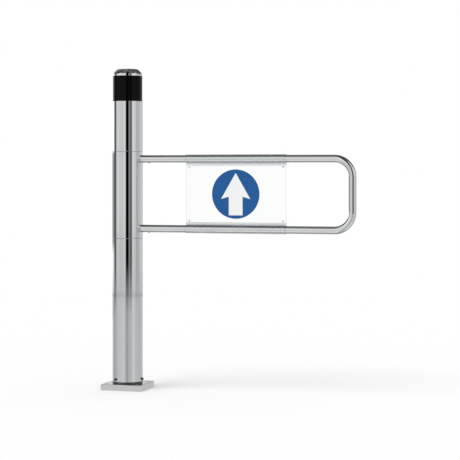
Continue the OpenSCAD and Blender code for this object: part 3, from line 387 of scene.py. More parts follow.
def add_mesh(name: str, points: Iterable[Sequence[float]], faces: Iterable[Sequence[int]],
             edges: Iterable[Sequence[int]] = ()) -> Piece:
    """Makes a mesh object at the origin from points, faces and loose edges."""
    mesh = bpy.data.meshes.new(name)
    mesh.from_pydata(list(points), list(edges), list(faces))
    piece = bpy.data.objects.new(name, mesh)
    bpy.context.scene.collection.objects.link(piece)
    return piece


def lathe(name: str, outline: Sequence[Point], steps: int = RING_STEPS) -> Piece:
    """Turns a closed outline of radius and height round the post's axis.

    Args:
        name: the piece's name.
        outline: the closed outline, which may touch the axis.
        steps: the number of steps round the axis.

    Returns:
        The turned piece.
    """
    points: list[tuple[float, float, float]] = []
    rows: list[list[int]] = []
    for radius, height in outline:
        count = steps if radius > ON_AXIS else 1
        rows.append([len(points) + k for k in range(count)] * (steps // count))
        turns = [2 * math.pi * k / steps for k in range(count)]
        points += [(radius * math.cos(t), radius * math.sin(t), height) for t in turns]
    faces = []
    for i, row in enumerate(rows):
        below = rows[i - 1]
        for k in range(steps):
            ring = [below[k], below[(k + 1) % steps], row[(k + 1) % steps], row[k]]
            corners = list(dict.fromkeys(ring))
            if len(corners) > 2:
                faces.append(corners)
    return add_mesh(name, points, faces)


def plate(name: str, loops: Sequence[Sequence[Point]], thickness: float, edge: float,
          place: Matrix) -> Piece:
    """Makes a flat plate with rounded edges from an outer loop and the loops of its holes.

    Args:
        name: the piece's name.
        loops: the outer loop first, counter-clockwise, then each hole's loop.
        thickness: the plate's thickness.
        edge: the radius of its rounded edges.
        place: turns the plate from the XY plane, with its middle at zero height, into its place.

    Returns:
        The plate.
    """
    curve = bpy.data.curves.new(name, "CURVE")
    curve.dimensions = "2D"
    curve.fill_mode = "BOTH"
    curve.extrude = thickness / 2 - edge
    curve.bevel_depth = edge
    curve.bevel_resolution = 2
    curve.offset = -edge
    for i, loop in enumerate(loops):
        spline = curve.splines.new("POLY")
        spline.points.add(len(loop) - 1)
        for point, (x, y) in zip(spline.points, loop if i == 0 else loop[::-1]):
            point.co = (x, y, 0.0, 1.0)
        spline.use_cyclic_u = True
    source = bpy.data.objects.new(name + ".curve", curve)
    bpy.context.scene.collection.objects.link(source)
    graph = bpy.context.evaluated_depsgraph_get()
    graph.update()
    mesh = bpy.data.meshes.new_from_object(source.evaluated_get(graph))
    bpy.data.objects.remove(source)
    mesh.transform(place)
    piece = bpy.data.objects.new(name, mesh)
    bpy.context.scene.collection.objects.link(piece)
    return piece


def drill(piece: Piece, radius: float, depth: float, places: Iterable[Matrix]) -> None:
    """Bores round holes into a piece and removes the drills.

    Args:
        piece: the piece to bore.
        radius: the holes' radius.
        depth: the holes' depth.
        places: where each hole starts and, by its Z axis, which way it runs.
    """
    drills = []
    for place in places:
        bore = lathe("bore", [(0.0, 0.0), (radius, 0.0), (radius, depth), (0.0, depth)], HOLE_STEPS)
        bore.data.transform(place)
        cut = piece.modifiers.new("bore", "BOOLEAN")
        cut.object = bore
        cut.solver = "EXACT"
        drills.append(bore)
    bake(piece)
    for bore in drills:
        bpy.data.objects.remove(bore)


def settle(piece: Piece, body: Body, slot: str, nodes: Sequence[str] = (),
           finish: Finish | None = None, sharp_deg: float = 42.0) -> None:
    """Dresses a piece in its slot's finish, lets it ride on its body, and hides the CAD nodes that it stands
    for.

    Args:
        piece: the shaped piece.
        body: the body that carries it.
        slot: the record's material slot.
        nodes: the CAD nodes that it replaces.
        finish: its finish, where that isn't its slot's.
        sharp_deg: edges that turn by more than this stay sharp.
    """
    dress(piece, finish or FINISH_OF_SLOT[slot], sharp_deg)
    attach(piece, body.value)
    if nodes:
        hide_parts(*nodes)
    LOG.info("%s rides on %s, %d faces", piece.name, body.value, len(piece.data.polygons))


class GeometryTree:
    """A Geometry Nodes tree with named inputs, which ends in Realize Instances and Set Material."""

    KINDS = {float: "NodeSocketFloat", int: "NodeSocketInt", tuple: "NodeSocketVector"}

    def __init__(self, name: str, finish: Finish, values: Mapping[str, object]) -> None:
        """Starts the tree.

        Args:
            name: the tree's name.
            finish: the finish of what it builds.
            values: the value of each named input.
        """
        self.tree = bpy.data.node_groups.new(name, "GeometryNodeTree")
        kinds = {key: self.KINDS[type(value)] for key, value in values.items()}
        face = self.tree.interface
        face.new_socket("Geometry", in_out="INPUT", socket_type="NodeSocketGeometry")
        sockets = {k: face.new_socket(k, in_out="INPUT", socket_type=t)
                   for k, t in {**kinds, "Material": "NodeSocketMaterial"}.items()}
        face.new_socket("Geometry", in_out="OUTPUT", socket_type="NodeSocketGeometry")
        self.values = {sockets[k].identifier: v for k, v in {**values, "Material": finish.build()}.items()}
        self.start = add_node(self.tree, "NodeGroupInput")

    def add(self, kind: str, settings: Settings | None = None, links: Links | None = None) -> bpy.types.Node:
        """Adds one node to this tree."""
        return add_node(self.tree, kind, settings, links)

    def given(self, name: str) -> Socket:
        """Returns the output socket that carries a named input."""
        return self.start.outputs[name]

    def run(self, geometry: Socket, piece: Piece) -> None:
        """Ends the tree, realised and with its material, runs it on a piece and keeps the plain mesh.

        Args:
            geometry: what the tree gives.
            piece: the object whose geometry goes in, and whose mesh is replaced.
        """
        real = self.add("GeometryNodeRealizeInstances", None, {"Geometry": geometry})
        dressed = self.add("GeometryNodeSetMaterial", None,
                           {"Geometry": real.outputs[0], "Material": self.given("Material")})
        self.add("NodeGroupOutput", None, {"Geometry": dressed.outputs[0]})
        modifier = piece.modifiers.new("build", "NODES")
        modifier.node_group = self.tree
        for identifier, value in self.values.items():
            modifier[identifier] = value
        bake(piece)


# Sub-assemblies


@dataclass
class Base:
    """Base plate, the dark shoulder of the foot spigot and the screws in the tube's foot."""

    edge: float = 1.2 * MM
    corner: float = 2.0 * MM
    shoulder_edge: float = 0.3 * MM
    spigot_wall: float = 16.0 * MM
    head_d: float = 8.5 * MM
    head_h: float = 5.0 * MM
    head_edge: float = 0.5 * MM
    shank: float = 8.0 * MM
    shank_d: float = 5.0 * MM
    socket_d: float = 4.5 * MM
    socket_depth: float = 3.0 * MM
    screw_count: int = 3
    screw_sharp_deg: float = 50.0
    sunk_head_r: float = 6.0 * MM
    low: Vector = field(default_factory=lambda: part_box("base_plate")[0])
    high: Vector = field(default_factory=lambda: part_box("base_plate")[1])

    def build(self) -> None:
        """Builds the three pieces."""
        self.plate()
        self.shoulder()
        self.screws()

    def plate(self) -> None:
        """Builds the base plate with its anchor holes, its cable hole and its countersunk screw holes."""
        mounts = {m["name"]: m["dims"] for m in frame["record"]["mounts"]}
        bolts = mounts["floor_bolts"]
        half_x, half_y = bolts["spacing_x_mm"] / 2 * MM, bolts["spacing_y_mm"] / 2 * MM
        side = self.high.x - self.corner
        square = [(side, self.low.y), (self.high.x, -side), (self.high.x, side), (side, self.high.y),
                  (-side, self.high.y), (self.low.x, side), (self.low.x, -side), (-side, self.low.y)]
        corners = [(x, y) for x in (-1, 1) for y in (-1, 1)]
        holes = [circle((x * half_x, y * half_y), bolts["hole_r_mm"] * MM, HOLE_STEPS) for x, y in corners]
        holes.append(circle((0, 0), mounts["cable_entry"]["r_mm"] * MM))
        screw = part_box("spigot_screws")[1].x - self.sunk_head_r
        holes += [circle((x * screw, y * screw), self.sunk_head_r + FIT_GAP, HOLE_STEPS) for x, y in corners]
        middle = (self.low.z + self.high.z) / 2
        piece = plate("base_plate_polished", [square, *holes], self.high.z - self.low.z, self.edge,
                      Matrix.Translation((0, 0, middle)))
        settle(piece, Body.POST, "polished_plate", ["base_plate"])

    def shoulder(self) -> None:
        """Builds the foot spigot, of which only the shoulder shows."""
        low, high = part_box("foot_spigot")
        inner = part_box("lower_tube")[1].x - TUBE_WALL - FIT_GAP
        bore = inner - self.spigot_wall
        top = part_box("lower_tube")[0].z
        outline = fillet([(bore, low.z), (high.x, low.z), (high.x, top), (inner, top), (inner, high.z),
                          (bore, high.z)], self.shoulder_edge)
        settle(lathe("foot_spigot_black", outline), Body.POST, "black_oxide", ["foot_spigot"])

    def screws(self) -> None:
        """Builds the three cap screws, spread round the tube by Geometry Nodes."""
        low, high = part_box("foot_screws")
        tree = GeometryTree("screws_round_tube", BLACK_OXIDE,
                            {"Radius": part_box("lower_tube")[1].x, "Height": (low.z + high.z) / 2,
                             "Count": self.screw_count})
        ring = tree.add("GeometryNodeMeshCircle", None,
                        {"Vertices": tree.given("Count"), "Radius": tree.given("Radius")})
        facing = tree.add("FunctionNodeAlignRotationToVector", {"axis": "X"},
                          {"Vector": tree.add("GeometryNodeInputPosition").outputs[0]})
        copies = tree.add("GeometryNodeInstanceOnPoints", None,
                          {"Points": ring.outputs["Mesh"], "Instance": tree.given("Geometry"),
                           "Rotation": facing.outputs[0]})
        lift = tree.add("ShaderNodeCombineXYZ", None, {"Z": tree.given("Height")})
        raised = tree.add("GeometryNodeTransform", None,
                          {"Geometry": copies.outputs[0], "Translation": lift.outputs[0]})
        piece = self.cap_screw("foot_screws_black")
        tree.run(raised.outputs[0], piece)
        settle(piece, Body.POST, "black_oxide", ["foot_screws"], sharp_deg=self.screw_sharp_deg)

    def cap_screw(self, name: str) -> Piece:
        """Returns one named cap screw along X, the underside of its head at the origin, with its socket."""
        head_r, shank_r, socket_r = self.head_d / 2, self.shank_d / 2, self.socket_d / 2
        floor, edge = self.head_h - self.socket_depth, self.head_edge
        outline = [(0.0, -self.shank), (shank_r, -self.shank), (shank_r, 0.0), (head_r, 0.0),
                   *arc((head_r - edge, self.head_h - edge), edge, 0, 90, steps=4),
                   (socket_r, self.head_h), (socket_r, floor), (0.0, floor)]
        piece = lathe(name, outline, SCREW_STEPS)
        piece.data.transform(Matrix.Rotation(math.pi / 2, 4, "Y"))
        return piece


@dataclass
class Tubes:
    """The post's three lengths of chromed tube. The lips in its two seams stay as the CAD made them."""

    edge: float = 0.35 * MM
    hole_r: float = 8.2 * MM
    hole_start: float = 20.0 * MM
    hole_depth: float = 60.0 * MM

    def build(self) -> None:
        """Builds the fixed tubes and the turning sleeve."""
        for node in ("lower_tube", "upper_tube"):
            settle(lathe(node + "_chromed", self.outline(node)), Body.POST, "chrome_tube", [node])
        self.sleeve()

    def outline(self, node: str) -> list[Point]:
        """Returns the section of a tube's wall, its ends rounded."""
        low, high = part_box(node)
        inner = high.x - TUBE_WALL
        return fillet([(inner, low.z), (high.x, low.z), (high.x, high.z), (inner, high.z)], self.edge)

    def sleeve(self) -> None:
        """Builds the sleeve, bored where the arm's spigots go through."""
        piece = lathe("sleeve_chromed", self.outline("sleeve"))
        arm_low, arm_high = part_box("arm_tube")
        tube_r = arm_high.y
        drill(piece, self.hole_r, self.hole_depth,
              [Matrix.Translation((self.hole_start, 0, z)) @ Matrix.Rotation(math.pi / 2, 4, "Y")
               for z in (arm_low.z + tube_r, arm_high.z - tube_r)])
        settle(piece, Body.ARM, "chrome_tube", ["sleeve"])


@dataclass
class Head:
    """The black ring through which the motion sensor looks, and the chromed cap."""

    ring_edge: float = 0.5 * MM
    ring_wall: float = 4.0 * MM
    recess_wall: float = 6.0 * MM
    recess_depth: float = 15.0 * MM
    ledge: float = 6.0 * MM
    cap_wall: float = 1.8 * MM
    rim: float = 6.2 * MM
    rim_edge: float = 0.5 * MM
    crown_r: float = 34.0 * MM
    crown_rise: float = 2.7 * MM
    shoulder_bulge: float = 1.4 * MM
    shoulder_steps: int = 24
    crown_steps: int = 16
    plug_wall: float = 3.2 * MM

    def build(self) -> None:
        """Builds the ring and the cap."""
        self.ring()
        self.cap()

    def ring(self) -> None:
        """Builds the black ring with its plug, its recess and its ledge."""
        low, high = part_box("head_ring")
        outer = high.x
        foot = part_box("upper_tube")[1].z
        plug_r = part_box("upper_tube")[1].x - TUBE_WALL - FIT_GAP
        inner, recess = outer - self.ring_wall, outer - self.recess_wall
        shelf = high.z - self.recess_depth
        outline = fillet([(inner, low.z), (plug_r, low.z), (plug_r, foot), (outer, foot), (outer, high.z),
                          (recess, high.z), (recess, shelf), (recess - self.ledge, shelf),
                          (recess - self.ledge, shelf - self.ledge), (inner, shelf - 2 * self.ledge)],
                         self.ring_edge)
        settle(lathe("head_ring_black", outline), Body.POST, "black_gloss", ["head_ring"])

    def cap(self) -> None:
        """Builds the domed cap as a closed shell with its plug."""
        low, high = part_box("cap")
        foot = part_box("head_ring")[1].z
        plug_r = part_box("head_ring")[1].x - self.recess_wall - FIT_GAP
        plug_bore, edge, rim, roof = plug_r - self.plug_wall, self.rim_edge, high.x, foot + self.cap_wall
        outline = [(plug_bore, low.z), (plug_r, low.z), (plug_r, foot), (rim - edge, foot),
                   *arc((rim - edge, foot + edge), edge, -90, 0, steps=5),
                   *self.surface(high, foot, 0.0), *self.surface(high, foot, self.cap_wall)[::-1],
                   (rim - self.cap_wall, roof), (plug_bore, roof)]
        settle(lathe("cap_chromed", outline), Body.POST, "chrome_tube", ["cap"])

    def surface(self, high: Vector, foot: float, depth: float) -> list[Point]:
        """Gives the cap's section from the top of its rim to the middle of its crown.

        Args:
            high: the highest corner of the cap's box.
            foot: the height of the rim's lower edge.
            depth: how far inside the outer surface the section lies.

        Returns:
            The section's points.
        """
        rim_r, rim_z = high.x - depth, foot + self.rim
        crown_r, crown_z = self.crown_r - depth / 2, high.z - self.crown_rise - depth
        points: list[Point] = []
        for i in range(self.shoulder_steps + 1):
            share = i / self.shoulder_steps
            lift = self.shoulder_bulge * math.sin(math.pi * share) / math.sqrt(2)
            points.append((rim_r + (crown_r - rim_r) * share + lift,
                           rim_z + (crown_z - rim_z) * share + lift))
        for i in range(1, self.crown_steps + 1):
            share = i / self.crown_steps
            points.append((crown_r * (1 - share), crown_z + self.crown_rise * math.sin(math.pi / 2 * share)))
        return points


@dataclass
class Arm:
    """The arm's one bent tube, coped to the sleeve, and the grub screws under it."""

    wall: float = 1.5 * MM
    bend_r: float = 60.0 * MM
    cope_gap: float = 0.1 * MM
    start: float = 40.0 * MM
    grub_edge: float = 0.4 * MM
    socket_share: float = 0.5
    low: Vector = field(default_factory=lambda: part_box("arm_tube")[0])
    high: Vector = field(default_factory=lambda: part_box("arm_tube")[1])

    def build(self) -> None:
        """Builds the tube and its screws."""
        self.tube()
        self.grub_screws()

    def tube(self) -> None:
        """Bends the tube along its path with Geometry Nodes, bores it and copes its ends."""
        radius = self.high.y
        far, top, bottom = self.high.x - radius, self.high.z - radius, self.low.z + radius
        path = [(self.start, 0, top), (far, 0, top), (far, 0, bottom), (self.start, 0, bottom)]
        piece = add_mesh("arm_tube_chromed", path, [], [(0, 1), (1, 2), (2, 3)])
        tree = GeometryTree("bent_tube", MIRROR_CHROME,
                            {"Tube radius": radius, "Wall": self.wall, "Bend radius": self.bend_r,
                             "Cope radius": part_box("sleeve")[1].x + self.cope_gap,
                             "Cope height": 2 * (top - bottom)})
        line = tree.add("GeometryNodeMeshToCurve", None, {"Mesh": tree.given("Geometry")})
        bent = tree.add("GeometryNodeFilletCurve", {"mode": "POLY", 1: 40},
                        {"Curve": line.outputs[0], "Radius": tree.given("Bend radius")})
        bore_r = tree.add("ShaderNodeMath", {"operation": "SUBTRACT"},
                          {0: tree.given("Tube radius"), 1: tree.given("Wall")})
        bars = []
        for size in (tree.given("Tube radius"), bore_r.outputs[0]):
            ring = tree.add("GeometryNodeCurvePrimitiveCircle", {"Resolution": 64}, {"Radius": size})
            bars.append(tree.add("GeometryNodeCurveToMesh", {"Fill Caps": True},
                                 {"Curve": bent.outputs[0], "Profile Curve": ring.outputs[0]}))
        post = tree.add("GeometryNodeMeshCylinder", {"Vertices": 256},
                        {"Radius": tree.given("Cope radius"), "Depth": tree.given("Cope height")})
        middle = tree.add("GeometryNodeTransform", {"Translation": (0, 0, (top + bottom) / 2)},
                          {"Geometry": post.outputs[0]})
        bored = tree.add("GeometryNodeMeshBoolean", {"operation": "DIFFERENCE"},
                         {"Mesh 1": bars[0].outputs[0], "Mesh 2": middle.outputs[0]})
        coped = tree.add("GeometryNodeMeshBoolean", {"operation": "DIFFERENCE"},
                         {"Mesh 1": bored.outputs[0], "Mesh 2": bars[1].outputs[0]})
        tree.run(coped.outputs[0], piece)
        settle(piece, Body.ARM, "chrome_tube", ["arm_tube"])

    def grub_screws(self) -> None:
        """Builds the hex-socket grub screws, one under each level tube, with Geometry Nodes."""
        low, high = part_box("arm_grub_screws")
        radius, rise = (high.x - low.x) / 2, self.high.z - self.low.z - 2 * self.high.y
        length, edge = high.z - rise - low.z, self.grub_edge
        socket, depth = radius * self.socket_share, length * self.socket_share
        outline = [(0.0, length), (radius - edge, length), (radius, length - edge), (radius, edge),
                   (radius - edge, 0.0), (socket, 0.0), (socket, depth), (0.0, depth)]
        piece = lathe("arm_grub_screws_black", outline, SCREW_STEPS)
        piece.data.transform(Matrix.Translation(((low.x + high.x) / 2, 0, low.z)))
        tree = GeometryTree("screw_row", BLACK_OXIDE, {"Rise": rise, "Count": 2})
        step = tree.add("ShaderNodeCombineXYZ", None, {"Z": tree.given("Rise")})
        row = tree.add("GeometryNodeMeshLine", None,
                       {"Count": tree.given("Count"), "Offset": step.outputs[0]})
        copies = tree.add("GeometryNodeInstanceOnPoints", None,
                          {"Points": row.outputs[0], "Instance": tree.given("Geometry")})
        tree.run(copies.outputs[0], piece)
        settle(piece, Body.ARM, "black_oxide", ["arm_grub_screws"])


@dataclass
class Sign:
    """The clear sheet folded round both tubes and pinched to a web, its push rivets and the film disc."""

    sheet: float = 1.5 * MM
    edge: float = 0.3 * MM
    pinch_drop: float = 22.0 * MM
    pinch_round: float = 3.0 * MM
    apex_round: float = 0.5 * MM
    far_deg: float = -89.5
    film_edge: float = 0.06 * MM
    backing: float = 0.12 * MM
    arrow_corner: float = 0.6 * MM
    rivet_inset: float = 10.0 * MM
    rivet_drop: float = 27.0 * MM
    rivet_head_r: float = 2.6 * MM
    rivet_head_h: float = 1.0 * MM
    rivet_shank_r: float = 1.4 * MM
    dome_steps: int = 6
    disc_steps: int = 160
    # Colour of the painted shade near the tubes, a slightly blue grey
    shade_near_tubes_colour: str = "#B4B4BE"
    # Share of clear sheet, by millimetres from its middle height: below one, painted shade darkens the sheet
    # near its heat-formed bends round the tubes
    shade_near_tubes: tuple[Point, ...] = (
        (84, 1), (92, 0.97), (96, 0.88), (99, 0.68), (102, 0.46), (103.5, 0.42), (105, 0.95), (132, 1))
    low: Vector = field(default_factory=lambda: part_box("sign_panel")[0])
    high: Vector = field(default_factory=lambda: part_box("sign_panel")[1])

    def build(self) -> None:
        """Builds the sheet, its rivets, the disc, the arrow and the film's white back."""
        self.panel()
        self.rivets()
        self.films()

    def panel(self) -> None:
        """Builds the clear sheet as one closed loop round both tubes, with a web between its two eyes."""
        outer = self.high.y
        inner = outer - self.sheet
        turn = math.asin(inner / self.pinch_drop)
        top, bottom = self.high.z - outer, self.low.z + outer
        side = self.side(outer, turn)
        up = [(y, bottom + z) for y, z in side[::-1]] + [(y, top - z) for y, z in side]
        loops = [up + [(-y, z) for y, z in up[::-1]]]
        eye = self.eye(inner, turn)
        loops += [[(y, bottom + z) for y, z in eye], [(-y, top - z) for y, z in eye]]
        place = Matrix(((0, 0, 1, (self.low.x + self.high.x) / 2), (1, 0, 0, 0), (0, 1, 0, 0), (0, 0, 0, 1)))
        piece = plate("sign_panel_clear", loops, self.high.x - self.low.x, self.edge, place)
        corners = [(x, z) for x in (self.low.x + self.rivet_inset, self.high.x - self.rivet_inset)
                   for z in (bottom + self.rivet_drop, top - self.rivet_drop)]
        drill(piece, self.rivet_shank_r + FIT_GAP, 2 * outer,
              [Matrix.Translation((x, outer, z)) @ Matrix.Rotation(math.pi / 2, 4, "X") for x, z in corners])
        self.paint_shade_near_tubes(CLEAR_ACRYLIC.build().node_tree)
        settle(piece, Body.ARM, "clear_sheet", ["sign_panel"])

    def paint_shade_near_tubes(self, tree: Tree) -> None:
        """Paints shade into the clear sheet's colour near its bends round the tubes, in its material's tree.
        """
        colour = tree.nodes["Principled BSDF"].inputs["Base Color"]
        clear = colour.links[0].from_socket
        place = add_node(tree, "ShaderNodeTexCoord").outputs["Object"]
        height = add_node(tree, "ShaderNodeSeparateXYZ", None, {0: place}).outputs["Z"]
        above = add_node(tree, "ShaderNodeMath", {"operation": "SUBTRACT", 1: (self.low.z + self.high.z) / 2},
                         {0: height})
        away = add_node(tree, "ShaderNodeMath", {"operation": "ABSOLUTE"}, {0: above.outputs[0]})
        level = read_stops(tree, away.outputs[0], [(place_mm * MM, share) for place_mm, share in self.shade_near_tubes])
        # Painted shade: the shade colour is mixed into the clear colour, more of it towards the tubes
        mixed = add_node(tree, "ShaderNodeMix", {"data_type": "RGBA", 6: linear(self.shade_near_tubes_colour)},
                         {0: level, 7: clear})
        tree.links.new(mixed.outputs[2], colour)

    def side(self, radius: float, turn: float) -> list[Point]:
        """Gives one side of the wrap's outside, from the web to the far side of the tube.

        Args:
            radius: the wrap's outer radius.
            turn: the slope of the neck, in radians from the web.

        Returns:
            The points, from the tube's axis, with the web ahead.
        """
        bend = self.sheet + self.pinch_round
        ahead = (radius + self.pinch_round - bend * math.cos(turn)) / math.sin(turn)
        slope = math.degrees(turn)
        return [*arc((bend, ahead), self.pinch_round, 180, 180 + slope, steps=6),
                *arc((0, 0), radius, slope, self.far_deg, steps=40)]

    def eye(self, radius: float, turn: float) -> list[Point]:
        """Gives the drop-shaped eye in which the tube lies, counter-clockwise.

        Args:
            radius: the wrap's inner radius.
            turn: the slope of the neck, in radians from the web.

        Returns:
            The points, from the tube's axis, with the web ahead.
        """
        slope = math.degrees(turn)
        ahead = (radius - self.apex_round) / math.sin(turn)
        return [*arc((0, 0), radius, 180 - slope, 360 + slope, steps=64),
                *arc((0, ahead), self.apex_round, slope, 180 - slope, steps=4)]

    def rivets(self) -> None:
        """Sets four push rivets through the web's corners with Geometry Nodes."""
        outer = self.high.y
        spread_x = self.high.x - self.low.x - 2 * self.rivet_inset
        spread_z = self.high.z - self.low.z - 2 * outer - 2 * self.rivet_drop
        dome = [(self.rivet_head_r * math.cos(t), self.sheet + self.rivet_head_h * math.sin(t))
                for t in [math.pi / 2 * i / self.dome_steps for i in range(self.dome_steps)]]
        half = [(self.rivet_shank_r, self.sheet), *dome, (0.0, self.sheet + self.rivet_head_h)]
        piece = lathe("sign_rivets_clear", [(r, -z) for r, z in half[::-1]] + half, steps=24)
        piece.data.transform(Matrix.Rotation(math.pi / 2, 4, "X"))
        middle = ((self.low.x + self.high.x) / 2, 0, (self.low.z + self.high.z) / 2)
        tree = GeometryTree("rivet_corners", CLEAR_NYLON,
                            {"Spread X": spread_x, "Spread Z": spread_z, "Place": middle})
        grid = tree.add("GeometryNodeMeshGrid", {"Vertices X": 2, "Vertices Y": 2},
                        {"Size X": tree.given("Spread X"), "Size Y": tree.given("Spread Z")})
        upright = tree.add("GeometryNodeTransform", {"Rotation": (math.pi / 2, 0, 0)},
                           {"Geometry": grid.outputs["Mesh"], "Translation": tree.given("Place")})
        copies = tree.add("GeometryNodeInstanceOnPoints", None,
                          {"Points": upright.outputs[0], "Instance": tree.given("Geometry")})
        tree.run(copies.outputs[0], piece)
        settle(piece, Body.ARM, "clear_sheet", finish=CLEAR_NYLON)

    def films(self) -> None:
        """Builds the blue disc, the white arrow in its cut-out and the film's white back."""
        low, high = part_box("sign_disc")
        x, z, radius = (low.x + high.x) / 2, (low.z + high.z) / 2, (high.x - low.x) / 2
        front, back = low.y, high.y - self.backing
        rim, arrow = circle((0, 0), radius, self.disc_steps), fillet(self.arrow(radius), self.arrow_corner, 3)
        for name, slot, nodes, loops, near, far, edge in (
                ("sign_disc_blue", "blue_film", ["sign_disc"], [rim, arrow], front, back, self.film_edge),
                ("sign_arrow_white", "white_film", ["sign_arrow"], [arrow], front, back, self.film_edge),
                ("sign_backing_white", "white_film", [], [rim], back, high.y, self.backing / 4)):
            face = Matrix(((1, 0, 0, x), (0, 0, -1, (near + far) / 2), (0, 1, 0, z), (0, 0, 0, 1)))
            settle(plate(name, loops, far - near, edge, face), Body.ARM, slot, nodes)

    @staticmethod
    def arrow(radius: float) -> list[Point]:
        """Returns the arrow's corners, counter-clockwise, from shares of the disc's radius."""
        tip_share, barb_shares, notch_share = 0.857, (0.617, -0.2), -0.105
        shaft_share, foot_share = 0.29, -0.86
        right = [(shaft_share, foot_share), (shaft_share, notch_share), barb_shares, (0.0, tip_share)]
        left = [(-px, pz) for px, pz in right[:3][::-1]]
        return [(px * radius, pz * radius) for px, pz in right + left]


class Internals:
    """The CAD nodes that stay: everything inside the post and the hubs."""

    def dress(self) -> None:
        """Gives each node the finish of its material slot."""
        for part in frame["record"]["subparts"]:
            node = frame["nodes"][part["node"]]
            node.data.materials.clear()
            node.data.materials.append(FINISH_OF_SLOT[part["material_slot"]].build())


